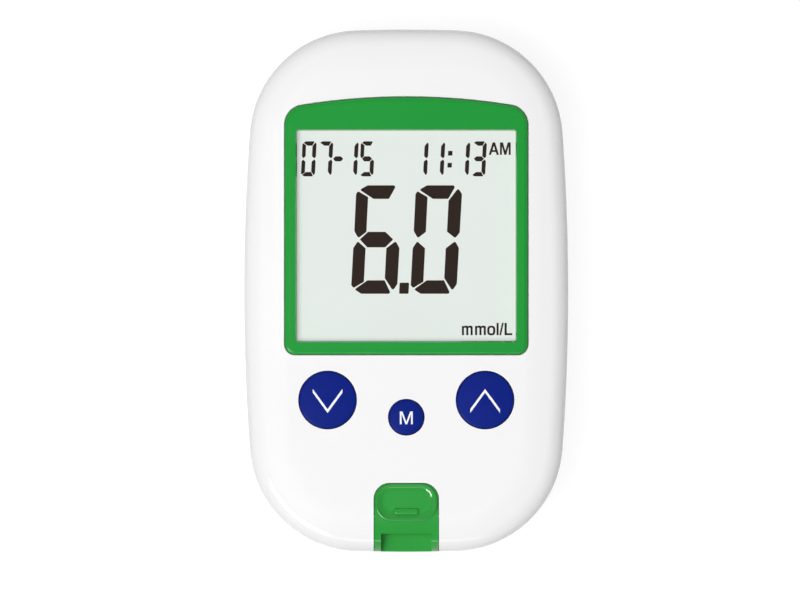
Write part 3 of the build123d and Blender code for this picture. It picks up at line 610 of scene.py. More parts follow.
@dataclass(frozen=True)
class LabelStock(Finish):
    """Satin label paper with a plain printed frame and empty ruled lines."""

    middle: float = -27.25 * MM
    half_width: float = 11.0 * MM
    half_length: float = 6.25 * MM
    frame_inset: float = 0.8 * MM
    frame_stroke: float = 0.12 * MM
    rule_pitch: float = 2.2 * MM
    rule_stroke: float = 0.1 * MM
    rule_shift: float = 0.3 * MM
    margins: Pair = (2.2 * MM, 1.7 * MM)
    fibre: float = 0.3 * MM
    fibre_depth: float = 0.003 * MM
    clouding: float = 0.03
    roughness: Pair = (0.55, 0.65)
    print_colour: Colour = srgb(128, 134, 142)

    def paint(self, net: Net) -> Inputs:
        """Paints the pattern.

        Args:
            net: The tree.

        Returns:
            The shader's inputs.
        """
        x, y, _ = net.axes(net.place())
        wide = self.half_width - abs(x)
        tall = self.half_length - abs(y - self.middle)
        inner = self.frame_inset + self.frame_stroke
        frame = (wide > self.frame_inset) * (tall > self.frame_inset) - (wide > inner) * (tall > inner)
        rules = (y - self.middle - self.rule_shift).lines(self.rule_pitch, self.rule_stroke)
        rules = rules * (wide > self.margins[0]) * (tall > self.margins[1])
        fibre = net.noise(self.fibre, 4.0, (1.0, 0.4, 1.0))
        sheet = net.shades(fibre, self.colour, 1 - self.clouding, 1 + self.clouding)
        return {
            "Base Color": net.mix(frame + rules, sheet, self.print_colour),
            "Roughness": fibre.between(*self.roughness),
            "Normal": net.bump(fibre, self.fibre_depth),
        }


class Finishes(Enum):
    """The meter's finishes, by the part that they belong to."""

    FRONT_SHELL = MouldedPlastic(
        "white_gloss_shell", "case_white", srgb(250, 249, 249),
        roughness=0.11, clouding=0.006, grain=0.5 * MM, grain_depth=0.0008 * MM, waviness=1.2,
    )
    REAR_SHELL = MouldedPlastic(
        "white_satin_shell", "case_white", srgb(245, 245, 246),
        roughness=0.42, clouding=0.01, grain=0.28 * MM, grain_depth=0.006 * MM, waviness=0.5,
    )
    GREEN_TRIM = MouldedPlastic(
        "green_trim", "trim_green", srgb(36, 155, 60),
        roughness=0.12, grain=0.4 * MM, grain_depth=0.001 * MM, waviness=0.8, specular=0.35,
    )
    # Painted sheen: the port cover's green is the trim's green made lighter and yellower, to stand in for
    # the light that the port's ledge and dish catch.
    GREEN_PORT = MouldedPlastic(
        "green_port", "trim_green", srgb(46, 158, 62),
        roughness=0.12, grain=0.4 * MM, grain_depth=0.001 * MM, waviness=0.8, specular=0.6,
    )
    BLUE_KEY = MouldedPlastic(
        "blue_key", "key_blue", srgb(19, 37, 129),
        roughness=0.32, clouding=0.04, grain=0.3 * MM, waviness=0.4, specular=0.06,
    )
    KEY_PRINT = Ink("white_key_print", "key_blue", srgb(248, 249, 251), 0.45)
    LENS = ClearPanel("clear_lens_panel", "clear_lens", srgb(235, 241, 237), 0.008, 0.05)
    GLASS = ClearPanel("display_glass", "lcd_glass", srgb(205, 214, 206), 0.35, 0.05)
    # The display ground's glow is painted light: emission that fills the shade inside the window so the
    # ground looks evenly lit.
    FILM = DisplayFilm("display_ground", "lcd_film", srgb(231, 237, 232), glow=0.4)
    SEGMENT = Ink("display_segment", "lcd_film", srgb(36, 18, 10), 0.5, 0.1)
    REFLECTOR = DisplayFilm("reflector_film", "lcd_reflector", srgb(220, 226, 220), 0.3)
    SEAL = Rubber("display_seal_epoxy", "seal_epoxy", srgb(120, 120, 112), 0.5 * MM, 0.004 * MM, 0.5)
    GASKET = Rubber("gasket_foam_black", "gasket_foam", srgb(60, 62, 64), 0.3 * MM, 0.05 * MM, 0.9)
    ZEBRA = ZebraStrip("striped_elastomer", "zebra_rubber", srgb(214, 120, 110))
    HOLDER = MouldedPlastic("holder_plastic", "holder_white", srgb(235, 235, 232), 0.5)
    BOARD = CircuitBoard("green_circuit_board", "board_green", srgb(20, 92, 52))
    CHIP = Rubber("black_chip_resin", "chip_black", srgb(28, 28, 30), 0.15 * MM, 0.004 * MM, 0.6)
    SOCKET = MouldedPlastic("black_socket_plastic", "connector_black", srgb(34, 34, 36), 0.4)
    RESISTOR = Rubber(
        "resistor_ceramic_dark", "resistor_ceramic", srgb(46, 44, 42), 0.2 * MM, 0.003 * MM, 0.45
    )
    CAN = Metal("drawn_can_metal", "can_metal", srgb(190, 192, 194), 0.3)
    DOME = Metal("snap_dome_steel", "dome_steel", srgb(196, 198, 200), 0.18)
    GOLD = Metal("gold_contact", "contact_gold", srgb(214, 178, 96), 0.2, tarnish=0.08)
    NICKEL = Metal("nickel_contact", "contact_nickel", srgb(200, 200, 198), 0.26, along=(0.1, 1.0, 1.0))
    SCREW = Metal(
        "screw_zinc", "screw_steel", srgb(170, 172, 175), 0.34, streak=0.2 * MM, along=(1.0, 1.0, 0.1)
    )
    CELL = CellJacket("dry_cell_jacket", "cell_jacket", srgb(60, 64, 70))
    FOOT = Rubber("foot_rubber_grey", "foot_rubber", srgb(72, 74, 78), 0.2 * MM, 0.01 * MM, 0.8)
    LABEL = LabelStock("plain_label_stock", "label_paper", srgb(214, 216, 218))

    def dress(self, piece: Object) -> Object:
        """Puts the finish on every material slot of a piece.

        Args:
            piece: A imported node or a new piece.

        Returns:
            The same piece.
        """
        material = self.value.material()
        if not piece.material_slots:
            piece.data.materials.append(material)
        for slot in piece.material_slots:
            slot.material = material
        return piece


# ---- mesh helpers


def stand(name: str, data: Mesh | Light | Camera) -> Object:
    """Puts a mesh, light or camera in the scene, its object at the origin.

    Args:
        name: Its name.
        data: The mesh, in place, or the light or camera.

    Returns:
        The new object.
    """
    data.name = name
    made = bpy.data.objects.new(name, data)
    bpy.context.scene.collection.objects.link(made)
    return made


def rounded(corners: Corners, steps: int = 4) -> Outline:
    """Rounds a polygon's corners.

    Args:
        corners: Points in order, each with its corner radius.
        steps: Straight pieces in each round corner.

    Returns:
        The new outline.
    """
    made: Outline = []
    for index, (x, y, radius) in enumerate(corners):
        corner = Vector((x, y))
        before = Vector(corners[index - 1][:2]) - corner
        after = Vector(corners[(index + 1) % len(corners)][:2]) - corner
        half = before.angle(after) / 2
        reach = min(radius / math.tan(half), CORNER_SHARE * min(before.length, after.length))
        start, end = corner + before.normalized() * reach, corner + after.normalized() * reach
        for step in range(steps + 1):
            t = step / steps
            made.append(tuple((1 - t) ** 2 * start + 2 * t * (1 - t) * corner + t * t * end))
    return made


def flat_faces(outlines: list[Outline], level: float = 0.0) -> BMesh:
    """Makes one flat face for each outline, facing up.

    Args:
        outlines: The outlines, each without holes.
        level: The faces' height.

    Returns:
        The open mesh.
    """
    work = bmesh.new()
    for outline in outlines:
        face = work.faces.new([work.verts.new((x, y, level)) for x, y in outline])
        face.normal_update()
        if face.normal.z < 0:
            face.normal_flip()
    return work


def settled(work: BMesh) -> Mesh:
    """Turns a work mesh into a plain mesh and frees it.

    Args:
        work: The work mesh.

    Returns:
        The plain mesh.
    """
    mesh = bpy.data.meshes.new("mesh")
    work.to_mesh(mesh)
    work.free()
    return mesh


def closed_mesh(work: BMesh) -> Mesh:
    """Merges a work mesh's seams, turns its faces outwards and frees it.

    Args:
        work: The work mesh of one or more closed shells.

    Returns:
        The finished mesh.
    """
    bmesh.ops.remove_doubles(work, verts=work.verts, dist=SAME_PLACE)
    bmesh.ops.dissolve_degenerate(work, edges=work.edges, dist=SHORT_EDGE)
    bmesh.ops.recalc_face_normals(work, faces=work.faces)
    return settled(work)


@dataclass(frozen=True)
class Letter:
    """A letter's outline and holes: points in hundredths of the capitals' height with their corner radii."""

    outline: Corners
    holes: tuple[Corners, ...] = ()


Line = tuple[tuple[Letter, float], ...]


def sharp(*points: Pair, radius: float = 1.5) -> Corners:
    """Returns the points with one small corner radius for all."""
    return tuple((x, y, radius) for x, y in points)


BOLD_M = Letter(sharp(
    (0, 0), (16, 0), (16, 70), (35, 0), (51, 0), (70, 70), (70, 0), (86, 0), (86, 100),
    (62, 100), (43, 32), (24, 100), (0, 100),
))
KEY_M = Letter(sharp(
    (0, 0), (14, 0), (14, 80), (43.5, 0), (57.5, 0), (87, 80), (87, 0), (101, 0), (101, 100),
    (81, 100), (50.5, 19), (20, 100), (0, 100),
))
BOLD_A = Letter(
    sharp((0, 0), (18, 0), (26, 23), (56, 23), (64, 0), (82, 0), (51, 100), (31, 100)),
    (sharp((31, 38), (51, 38), (41, 74)),),
)
SMALL_M = Letter((
    (0, 0, 1), (17, 0, 1), (17, 61, 9), (35.5, 61, 9), (35.5, 0, 1), (52.5, 0, 1), (52.5, 61, 9),
    (71, 61, 9), (71, 0, 1), (88, 0, 1), (88, 77, 20), (54, 77, 9), (50, 69, 1), (45, 77, 9),
    (20, 77, 9), (15.5, 69, 1), (15.5, 75, 1), (0, 75, 1),
))
SMALL_O = Letter(
    ((0, -2, 32), (66, -2, 32), (66, 77, 32), (0, 77, 32)),
    (((18, 14, 15), (48, 14, 15), (48, 61, 15), (18, 61, 15)),),
)
SMALL_L = Letter(sharp((0, 0), (17, 0), (17, 100), (0, 100)))
SLASH = Letter(sharp((0, -1), (14, -1), (37, 101), (23, 101)))
CAPITAL_L = Letter(sharp((0, 0), (62, 0), (62, 16), (18, 16), (18, 100), (0, 100)))


def prism(work: BMesh) -> Mesh:
    """Gives flat faces a thickness of one unit upwards and closes them.

    Args:
        work: The flat work mesh at z 0; it is freed.

    Returns:
        The closed mesh.
    """
    made = bmesh.ops.extrude_face_region(work, geom=list(work.faces), use_keep_orig=True)
    for item in made["geom"]:
        if isinstance(item, BMVert):
            item.co.z = 1.0
    return closed_mesh(work)


def lettering(letters: Line, height: float) -> Mesh:
    """Makes flat letters with a thickness of one unit, starting at the origin.

    Args:
        letters: The letters, each with its start in hundredths of the capitals' height.
        height: The capitals' height.

    Returns:
        The letters' mesh, from z 0 to z 1.
    """
    work = bmesh.new()
    for letter, start in letters:
        rings = []
        for ring in (letter.outline, *letter.holes):
            points = [((start + x) * height / 100, y * height / 100, 0.0) for x, y in rounded(ring, 6)]
            verts = [work.verts.new(point) for point in points]
            rings += [work.edges.new((verts[i - 1], verts[i])) for i in range(len(verts))]
        bmesh.ops.triangle_fill(work, use_beauty=True, use_dissolve=False, edges=rings, normal=(0, 0, 1))
    return prism(work)


# ---- sub-assemblies

Parts = dict[Finishes, tuple[str, ...]]


@dataclass
class SubAssembly:
    """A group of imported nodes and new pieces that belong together."""

    parts: ClassVar[Parts] = {}
    pieces: list[Object] = field(default_factory=list, init=False)

    def build(self, frame: dict[str, Any]) -> None:
        """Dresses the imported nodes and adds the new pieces.

        Args:
            frame: The loaded frame.
        """
        for finish, names in self.parts.items():
            self.pieces += [finish.dress(frame["nodes"][name]) for name in names]
        self.furnish()

    def furnish(self) -> None:
        """Adds the new pieces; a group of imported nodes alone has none."""

    def add(self, piece: Object, body: str, finish: Finishes) -> None:
        """Dresses a new piece and lets it ride on a body.

        Args:
            piece: The new piece, its mesh in place.
            body: The body that carries it.
            finish: Its finish.
        """
        finish.dress(piece)
        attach(piece, body)
        self.pieces.append(piece)


@dataclass
class Housing(SubAssembly):
    """The case: covers, battery door, label, feet and screws."""

    parts: ClassVar[Parts] = {
        Finishes.FRONT_SHELL: ("front_cover",),
        Finishes.REAR_SHELL: ("rear_cover", "battery_door"),
        Finishes.LABEL: ("rating_label",),
        Finishes.FOOT: ("rubber_feet",),
        Finishes.SCREW: ("case_screws",),
    }


class Segment(IntFlag):
    """The bars of a digit, its point, and the digits that they make."""

    TOP = 1
    UPPER_RIGHT = 2
    LOWER_RIGHT = 4
    BOTTOM = 8
    LOWER_LEFT = 16
    UPPER_LEFT = 32
    MIDDLE = 64
    POINT = 128
    ZERO = 63
    ONE = 6
    THREE = 79
    FIVE = 109
    SIX = 125
    SEVEN = 7


# Bars in hundredths of the digit's height: across, up and corner radius.
BARS: dict[Segment, Corners] = {
    Segment.TOP: (
        (3.3, 95.9, 1.4), (10.4, 100, 3), (35.2, 100, 1.4), (36.0, 98, 1), (30.6, 87.5, 1), (16.4, 87.5, 2),
    ),
    Segment.UPPER_LEFT: (
        (1.8, 94.6, 1.2), (11.4, 89.1, 0.8), (11.4, 57.1, 0.8), (4.3, 51.3, 1.6), (0.2, 57.8, 4),
        (0.1, 91.9, 3),
    ),
    Segment.UPPER_RIGHT: (
        (39.2, 97.4, 1.8), (43, 92, 3.5), (42.7, 56.2, 4), (38.6, 51.3, 1.6), (30.9, 57.3, 0.8),
        (30.9, 85.9, 1.4),
    ),
    Segment.MIDDLE: (
        (5.7, 50.1, 0.8), (12.9, 57.1, 1.2), (28.9, 57.1, 1.6), (36.5, 50.1, 0.8), (29.4, 42.8, 1.2),
        (12.8, 42.8, 1.2),
    ),
    Segment.LOWER_LEFT: (
        (3.8, 48.5, 1.6), (11.4, 41.9, 0.8), (11.4, 11.0, 0.8), (2.2, 5.4, 1.2), (-0.1, 7.9, 1),
        (0, 42.0, 4),
    ),
    Segment.LOWER_RIGHT: (
        (38.8, 48.5, 1.6), (30.5, 41.9, 0.8), (30.5, 14.4, 1.4), (38.5, 2.8, 1.8), (42.4, 9.0, 3),
        (42.6, 42.3, 4),
    ),
    Segment.BOTTOM: (
        (3.0, 4.0, 1.4), (14.6, 12.4, 2), (30.4, 12.4, 1), (36.2, 1.3, 1), (35.0, 0, 1), (9.5, 0, 3),
    ),
    Segment.POINT: (
        (44.4, 0, 1), (44.4, 10.2, 1), (53.1, 10.2, 1), (53.1, 0, 1),
    ),
}


@dataclass(frozen=True)
class Digit:
    """One lit digit: its bars, its lower left corner and its width and height scales, in mm."""

    lit: Segment
    x: float
    y: float
    wide: float
    tall: float


@dataclass(frozen=True)
class Word:
    """A lit word: its piece's name, its letters with their starts, its height and its corner, in mm."""

    name: str
    letters: Line
    height: float
    x: float
    y: float


@dataclass
class Display(SubAssembly):
    """The window: green bezel, clear lens, the display's layers and what it shows."""

    slant: float = 0.05
    ink: float = 0.02 * MM
    seam: float = 0.001 * MM
    large: Pair = (18.26, 18.26)
    small: Pair = (5.55, 5.9)
    colon_size: Pair = (8.5, 7.8)
    large_base: float = -0.52
    small_base: float = 19.25
    date_and_time: tuple[tuple[Segment, float], ...] = (
        (Segment.ZERO, -17.75), (Segment.SEVEN, -14.95), (Segment.MIDDLE, -12.78), (Segment.ONE, -10.67),
        (Segment.FIVE, -7.92), (Segment.ONE, 1.13), (Segment.ONE, 3.91), (Segment.ONE, 8.13),
        (Segment.THREE, 10.92),
    )
    colon: tuple[Pair, ...] = ((3.14, 20.73), (3.24, 22.75))
    result: tuple[tuple[Segment, float], ...] = ((Segment.SIX | Segment.POINT, -9.32), (Segment.ZERO, 0.69))
    words: tuple[Word, ...] = (
        Word("display_half_of_day", ((BOLD_A, 0), (BOLD_M, 90)), 2.1, 13.88, 22.87),
        Word(
            "display_unit",
            ((SMALL_M, 0), (SMALL_M, 107), (SMALL_O, 206), (SMALL_L, 282), (SLASH, 304), (CAPITAL_L, 347)),
            2.07, 9.36, -7.49,
        ),
    )
    parts: ClassVar[Parts] = {
        Finishes.GREEN_TRIM: ("display_bezel",),
        Finishes.LENS: ("display_lens",),
        Finishes.GASKET: ("lcd_gasket",),
        Finishes.FILM: ("lcd_polariser",),
        Finishes.GLASS: ("lcd_front_glass", "lcd_rear_glass"),
        Finishes.SEAL: ("lcd_seal",),
        Finishes.REFLECTOR: ("lcd_reflector",),
        Finishes.HOLDER: ("lcd_holder",),
        Finishes.ZEBRA: ("zebra_connector",),
    }

    def furnish(self) -> None:
        """Lights the display."""
        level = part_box("lcd_polariser")[1].z
        self.add(self.digits(level), "meter", Finishes.SEGMENT)
        for word in self.words:
            self.add(self.word(word, level), "meter", Finishes.SEGMENT)

    def reading(self) -> list[Digit]:
        """Lists the lit digits: date, time and result.

        Returns:
            The digits.
        """
        row = [Digit(lit, x, self.small_base, *self.small) for lit, x in self.date_and_time]
        colon = [Digit(Segment.POINT, x, y, *self.colon_size) for x, y in self.colon]
        result = [Digit(lit, x, self.large_base, *self.large) for lit, x in self.result]
        return row + colon + result

    def stencil(self) -> Object:
        """Makes the stencil of all bars, one unit tall, each face knowing its bar.

        Returns:
            The stencil.
        """
        work = flat_faces([[(x / 100, y / 100) for x, y in rounded(bar)] for bar in BARS.values()])
        layer = work.faces.layers.int.new("bar")
        for face, bar in zip(work.faces, BARS):
            face[layer] = bar.value
        return bpy.data.objects.new("stencil", settled(work))

    def lighting_tree(self) -> tuple[NodeTree, dict[str, str]]:
        """Builds the tree that stamps the stencil on each digit's point and keeps its lit bars.

        Returns:
            The tree, and the identifier of each named input.
        """
        tree = bpy.data.node_groups.new("lit_segments", "GeometryNodeTree")
        kinds = {"Geometry": "Geometry", "Stencil": "Object", "Finish": "Material"}
        ids = {}
        for name, kind in (kinds | dict.fromkeys(("Slant", "Ink", "Seam"), "Float")).items():
            socket = tree.interface.new_socket(name, in_out="INPUT", socket_type=f"NodeSocket{kind}")
            ids[name] = socket.identifier
        tree.interface.new_socket("Geometry", in_out="OUTPUT", socket_type="NodeSocketGeometry")
        net = Net(tree)
        given = net.node("NodeGroupInput").outputs
        shape = net.node("GeometryNodeObjectInfo", {"Object": given["Stencil"]})
        _, up, _ = net.axes(net.node("GeometryNodeInputPosition"))
        shift = up * Signal(net, given["Slant"])
        lean = net.node("ShaderNodeCombineXYZ", {0: shift})
        upright = shape.outputs["Geometry"]
        leaning = net.node("GeometryNodeSetPosition", {"Geometry": upright, "Offset": lean})
        scale, lit, bar = (
            net.node("GeometryNodeInputNamedAttribute", {"Name": name}, data_type=kind)
            for kind, name in (("FLOAT_VECTOR", "scale"), ("INT", "lit"), ("INT", "bar"))
        )
        stamps = {"Points": given["Geometry"], "Instance": leaning, "Scale": scale}
        stamped = net.node("GeometryNodeInstanceOnPoints", stamps)
        real = net.node("GeometryNodeRealizeInstances", {0: stamped})
        dark = ((net.signal(lit) / net.signal(bar)).floor() % 2.0) < 0.5
        unlit = {"Geometry": real, "Selection": dark}
        kept = net.node("GeometryNodeDeleteGeometry", unlit, domain="FACE")
        growth = {"Mesh": kept, "Offset Scale": given["Ink"], "Individual": False}
        raised = net.node("GeometryNodeExtrudeMesh", growth)
        under = net.node("GeometryNodeFlipFaces", {0: kept})
        both = net.node("GeometryNodeJoinGeometry", {0: raised})
        net.feed(both.inputs[0], under)
        sealed = net.node("GeometryNodeMergeByDistance", {"Geometry": both, "Distance": given["Seam"]})
        flat = net.node("GeometryNodeRealizeInstances", {0: sealed})
        dressed = net.node("GeometryNodeSetMaterial", {"Geometry": flat, "Material": given["Finish"]})
        net.node("NodeGroupOutput", {0: dressed})
        return tree, ids

    def digits(self, level: float) -> Object:
        """Lights the digits on the display film.

        Args:
            level: The film's upper face.

        Returns:
            The digits, as one plain mesh.
        """
        reading = self.reading()
        points = bpy.data.meshes.new("digit_points")
        points.from_pydata([(d.x * MM, d.y * MM, level) for d in reading], [], [])
        scale = points.attributes.new("scale", "FLOAT_VECTOR", "POINT")
        scale.data.foreach_set("vector", [v for d in reading for v in (d.wide * MM, d.tall * MM, 1.0)])
        lit = points.attributes.new("lit", "INT", "POINT")
        lit.data.foreach_set("value", [int(d.lit) for d in reading])
        holder = stand("digit_points", points)
        stencil = self.stencil()
        tree, ids = self.lighting_tree()
        modifier = holder.modifiers.new("lit_segments", "NODES")
        modifier.node_group = tree
        modifier[ids["Stencil"]] = stencil
        modifier[ids["Slant"]] = self.slant
        modifier[ids["Ink"]] = self.ink
        modifier[ids["Seam"]] = self.seam
        modifier[ids["Finish"]] = Finishes.SEGMENT.value.material()
        bpy.context.view_layer.update()
        graph = bpy.context.evaluated_depsgraph_get()
        mesh = bpy.data.meshes.new_from_object(holder.evaluated_get(graph))
        bpy.data.objects.remove(holder)
        bpy.data.objects.remove(stencil)
        for name in ("scale", "lit", "bar"):
            if name in mesh.attributes:
                mesh.attributes.remove(mesh.attributes[name])
        return stand("display_digits", mesh)

    def word(self, word: Word, level: float) -> Object:
        """Lights a word on the display film.

        Args:
            word: The word.
            level: The film's upper face.

        Returns:
            The word's piece.
        """
        mesh = lettering(word.letters, word.height)
        for vertex in mesh.vertices:
            x, y, z = vertex.co
            vertex.co = ((word.x + x) * MM, (word.y + y) * MM, level + self.ink * z)
        return stand(word.name, mesh)


class Mark(Enum):
    """What is printed on a key; a chevron's value is the way that it points."""

    DOWN = 1.0
    UP = -1.0
    MEMORY = 0.0


@dataclass(frozen=True)
class Key:
    """A domed key: its name, the radius of its domed top and its mark."""

    name: str
    ball_radius: float
    mark: Mark


@dataclass
class Keypad(SubAssembly):
    """Three domed keys with printed marks, and the snap domes under them."""

    arm: float = 2.5
    rise: float = 4.05
    stroke: float = 0.64
    chevron_drop: float = 0.15
    letter_height: float = 2.16
    letter_start: float = -50.5
    letter_drop: float = 0.1
    lift: float = 0.012 * MM
    sink: float = 0.03 * MM
    mesh_step: float = 0.3 * MM
    keys: tuple[Key, ...] = (
        Key("down", 38.55 * MM, Mark.DOWN),
        Key("up", 38.55 * MM, Mark.UP),
        Key("memory", 14.65 * MM, Mark.MEMORY),
    )
    parts: ClassVar[Parts] = {
        Finishes.BLUE_KEY: ("key_down", "key_up", "key_memory"),
        Finishes.DOME: ("dome_down", "dome_up", "dome_memory"),
    }

    def furnish(self) -> None:
        """Prints the keys' marks."""
        for key in self.keys:
            self.add(self.mark(key), f"key_{key.name}", Finishes.KEY_PRINT)

    def chevron(self, turn: float) -> Mesh:
        """Makes a chevron one unit thick.

        Args:
            turn: 1 points it down, -1 up.

        Returns:
            The chevron's mesh, in mm.
        """
        top, low = self.rise / 2, -self.rise / 2
        points = [
            (-self.arm, top), (-self.arm, top - self.stroke), (0.0, low),
            (self.arm, top - self.stroke), (self.arm, top), (0.0, low + self.stroke),
        ]
        work = flat_faces([[(x, turn * y) for x, y in points]])
        bmesh.ops.triangulate(work, faces=work.faces)
        return prism(work)

    def mark(self, key: Key) -> Object:
        """Prints a key's mark on its domed top.

        Args:
            key: The key.

        Returns:
            The mark's piece.
        """
        low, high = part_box(f"key_{key.name}")
        middle = (low + high) / 2
        if key.mark is Mark.MEMORY:
            mesh = lettering(((KEY_M, self.letter_start),), self.letter_height)
            drop = self.letter_height / 2 + self.letter_drop
        else:
            mesh = self.chevron(key.mark.value)
            drop = self.chevron_drop
        work = bmesh.new()
        work.from_mesh(mesh)
        bmesh.ops.translate(work, vec=(0, -drop, 0), verts=work.verts)
        bmesh.ops.scale(work, vec=(MM, MM, 1.0), verts=work.verts)
        cuts = int(2 * self.arm * MM / self.mesh_step)
        for normal in (Vector((1, 0, 0)), Vector((0, 1, 0))):
            for cut in range(-cuts, cuts + 1):
                parts = [*work.verts, *work.edges, *work.faces]
                place = normal * cut * self.mesh_step
                bmesh.ops.bisect_plane(work, geom=parts, dist=SAME_PLACE, plane_co=place, plane_no=normal)
        for vert in work.verts:
            x, y, upper = vert.co.x, vert.co.y, vert.co.z > 0.5
            dome = math.sqrt(key.ball_radius**2 - x * x - y * y) - key.ball_radius
            vert.co = (middle.x + x, middle.y + y, high.z + dome + (self.lift if upper else -self.sink))
        return stand(f"mark_{key.name}", closed_mesh(work))


@dataclass
class StripPort(SubAssembly):
    """The green strip port cover and the strip socket behind it."""

    parts: ClassVar[Parts] = {
        Finishes.GREEN_PORT: ("strip_port_cover",),
        Finishes.SOCKET: ("strip_connector",),
        Finishes.GOLD: ("strip_contacts",),
    }


@dataclass
class BatteryBay(SubAssembly):
    """The cells, their plates and their springs."""

    parts: ClassVar[Parts] = {
        Finishes.CELL: ("battery_cell_left", "battery_cell_right"),
        Finishes.NICKEL: ("positive_contact", "negative_contact", "link_contact", "battery_springs"),
    }


@dataclass
class Electronics(SubAssembly):
    """The circuit board and what is soldered or screwed to it."""

    parts: ClassVar[Parts] = {
        Finishes.BOARD: ("main_board",),
        Finishes.CHIP: ("main_chip",),
        Finishes.CAN: ("buzzer", "crystal"),
        Finishes.RESISTOR: ("resistors",),
        Finishes.SCREW: ("board_screws",),
    }


# ---- studio


class Reach(Enum):
    """What a lamp gives: light without its own image in the gloss, or that image alone."""

    LIGHT = "visible_glossy"
    SHINE = "visible_diffuse"


@dataclass(frozen=True)
class Lamp:
    """A soft area lamp that points at the meter.

    Its bearing is in degrees from +X, its lean in degrees from straight above, and its distance and sides
    in metres. Its share is what it adds to the light on a level surface, where 1 shows a colour as written.
    """

    name: str
    bearing: float
    lean: float
    distance: float
    sides: Pair
    share: float
    reach: Reach

    def place(self) -> Vector:
        """Works out the lamp's place.

        Returns:
            The place, in metres.
        """
        lean, bearing = math.radians(self.lean), math.radians(self.bearing)
        flat = math.sin(lean)
        return self.distance * Vector((flat * math.cos(bearing), flat * math.sin(bearing), math.cos(lean)))

    def watts(self) -> float:
        """Returns the power that gives the lamp its share."""
        return self.share * (math.pi * self.distance) ** 2 / abs(math.cos(math.radians(self.lean)))


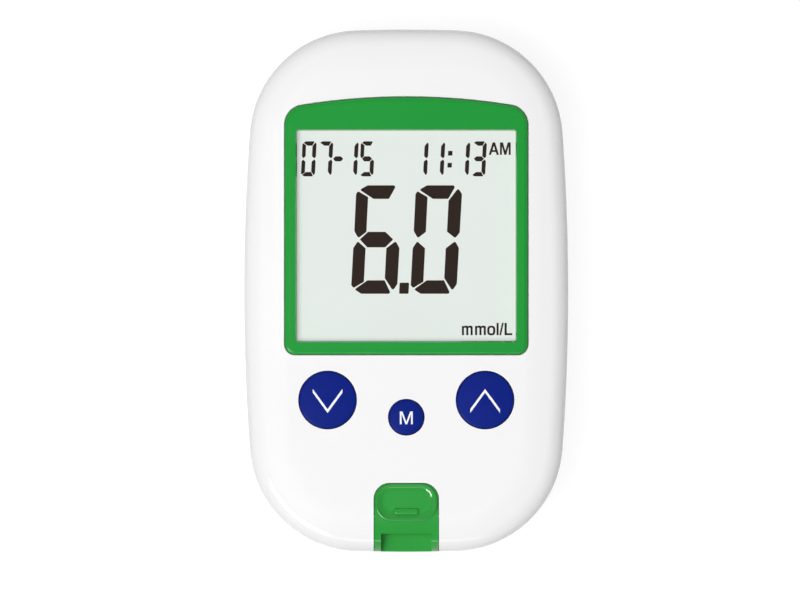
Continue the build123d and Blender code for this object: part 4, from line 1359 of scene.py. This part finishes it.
@dataclass
class Studio:
    """A plain pale table, soft lamps, a pale world and the camera straight above.

    The world gets brighter by "ends" towards +Y and -Y. Rays from the camera, from gloss and through clear
    pieces see a white table; all other rays see a grey one, so that it throws little light up at the case.
    """

    view_width: float = 134.86 * MM
    view_middle: Pair = (-1.06 * MM, -1.57 * MM)
    view_level: float = 16.0 * MM
    lens: float = 900.0
    sensor: float = 36.0
    table_side: float = 1.2
    table_level: float = -0.02 * MM
    table_mottle: float = 20 * MM
    table_shades: Pair = (0.61, 0.63)
    seen_shades: Pair = (0.17, 0.18)
    seen_glow: float = 0.88
    world: float = 0.08
    ends: float = 0.30
    white_rise: float = 0.5
    sky: Colour = (0.95, 0.98, 1.03)
    lamps: tuple[Lamp, ...] = (
        Lamp("key_lamp", 208.0, 13.0, 1.40, (0.68, 0.68), 0.89, Reach.LIGHT),
        Lamp("strip_lamp", 180.0, 13.0, 0.70, (0.015, 0.40), 0.0015, Reach.SHINE),
        Lamp("spark_lamp", 228.0, 50.0, 0.70, (0.36, 0.24), 0.60, Reach.SHINE),
        Lamp("rim_lamp", 262.0, 55.0, 0.70, (0.60, 0.10), 0.06, Reach.SHINE),
        Lamp("under_lamp", 240.0, 150.0, 0.70, (0.50, 0.50), 0.55, Reach.LIGHT),
    )

    def build(self) -> None:
        """Sets the studio up."""
        bpy.context.scene.view_settings.view_transform = "Standard"
        for lamp in self.lamps:
            self.hang(lamp)
        self.light_world()
        self.lay_table()
        self.place_camera()

    def hang(self, lamp: Lamp) -> None:
        """Hangs a lamp in the scene.

        Args:
            lamp: The lamp.
        """
        data = bpy.data.lights.new(lamp.name, "AREA")
        data.shape = "RECTANGLE"
        data.size, data.size_y = lamp.sides
        data.energy = lamp.watts()
        made = stand(lamp.name, data)
        made.location = lamp.place()
        made.rotation_euler = (-lamp.place()).to_track_quat("-Z", "Y").to_euler()
        setattr(made, lamp.reach.value, False)
        made.visible_camera = False

    def light_world(self) -> None:
        """Gives the scene its world, white to the camera and near the horizon in gloss, dim as light."""
        world = bpy.data.worlds.new("even_world")
        world.use_nodes = True
        bpy.context.scene.world = world
        net = Net(world.node_tree)
        _, across, up = net.axes(net.node("ShaderNodeTexCoord").outputs["Generated"])
        low = net.signal(net.node("ShaderNodeClamp", {"Value": 1.0 - up / self.white_rise}))
        camera, glossy, through = net.rays("Camera", "Glossy", "Transmission")
        white = camera + through + glossy * low
        strength = self.world + self.ends * across * across
        light = net.node("ShaderNodeBackground", {"Color": self.sky, "Strength": strength})
        shown = net.node("ShaderNodeBackground", {"Color": grey(1.0), "Strength": 1.0})
        mixed = net.node("ShaderNodeMixShader", {0: white, 1: light, 2: shown})
        net.node("ShaderNodeOutputWorld", {"Surface": mixed})

    def lay_table(self) -> None:
        """Lays the table, clear from below and to shadow rays, so that the case's back is lit and seen."""
        half = self.table_side / 2
        corners = [(-half, -half), (half, -half), (half, half), (-half, half)]
        table = stand("table", settled(flat_faces([corners], self.table_level)))
        material = bpy.data.materials.new("pale_table")
        material.use_nodes = True
        net = Net(material.node_tree)
        fibre = net.noise(self.table_mottle, 3.0)
        plain, paler = (
            net.node("ShaderNodeBsdfDiffuse", {"Color": net.mix(fibre, grey(low), grey(high))})
            for low, high in (self.table_shades, self.seen_shades)
        )
        glow = net.node("ShaderNodeEmission", {"Color": grey(1.0), "Strength": self.seen_glow})
        white = net.node("ShaderNodeAddShader", {0: paler, 1: glow})
        camera, glossy, through, shadow = net.rays("Camera", "Glossy", "Transmission", "Shadow")
        seen = net.node("ShaderNodeMixShader", {0: camera + glossy + through, 1: plain, 2: white})
        back = net.signal(net.node("ShaderNodeNewGeometry"), "Backfacing")
        clear = net.node("ShaderNodeBsdfTransparent")
        both = net.node("ShaderNodeMixShader", {0: back.most(shadow), 1: seen, 2: clear})
        net.node("ShaderNodeOutputMaterial", {"Surface": both})
        table.data.materials.append(material)

    def place_camera(self) -> None:
        """Places the camera straight above the meter."""
        data = bpy.data.cameras.new("camera")
        data.lens = self.lens
        data.sensor_width = self.sensor
        made = stand("camera", data)
        distance = self.view_width * self.lens / self.sensor
        made.location = (*self.view_middle, self.view_level + distance)
        bpy.context.scene.camera = made


def main() -> None:
    """Loads the frame, builds each sub-assembly in order, reports the pieces and sets up the studio."""
    logging.basicConfig(level=logging.INFO, format="%(name)s: %(message)s")
    for item in list(bpy.data.objects):
        bpy.data.objects.remove(item)
    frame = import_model()
    for assembly in (Housing(), Display(), Keypad(), StripPort(), BatteryBay(), Electronics()):
        assembly.build(frame)
        for piece in assembly.pieces:
            log.info("%s: %s, %d faces", type(assembly).__name__, piece.name, len(piece.data.polygons))
    Studio().build()


if __name__ == "__main__":
    main()
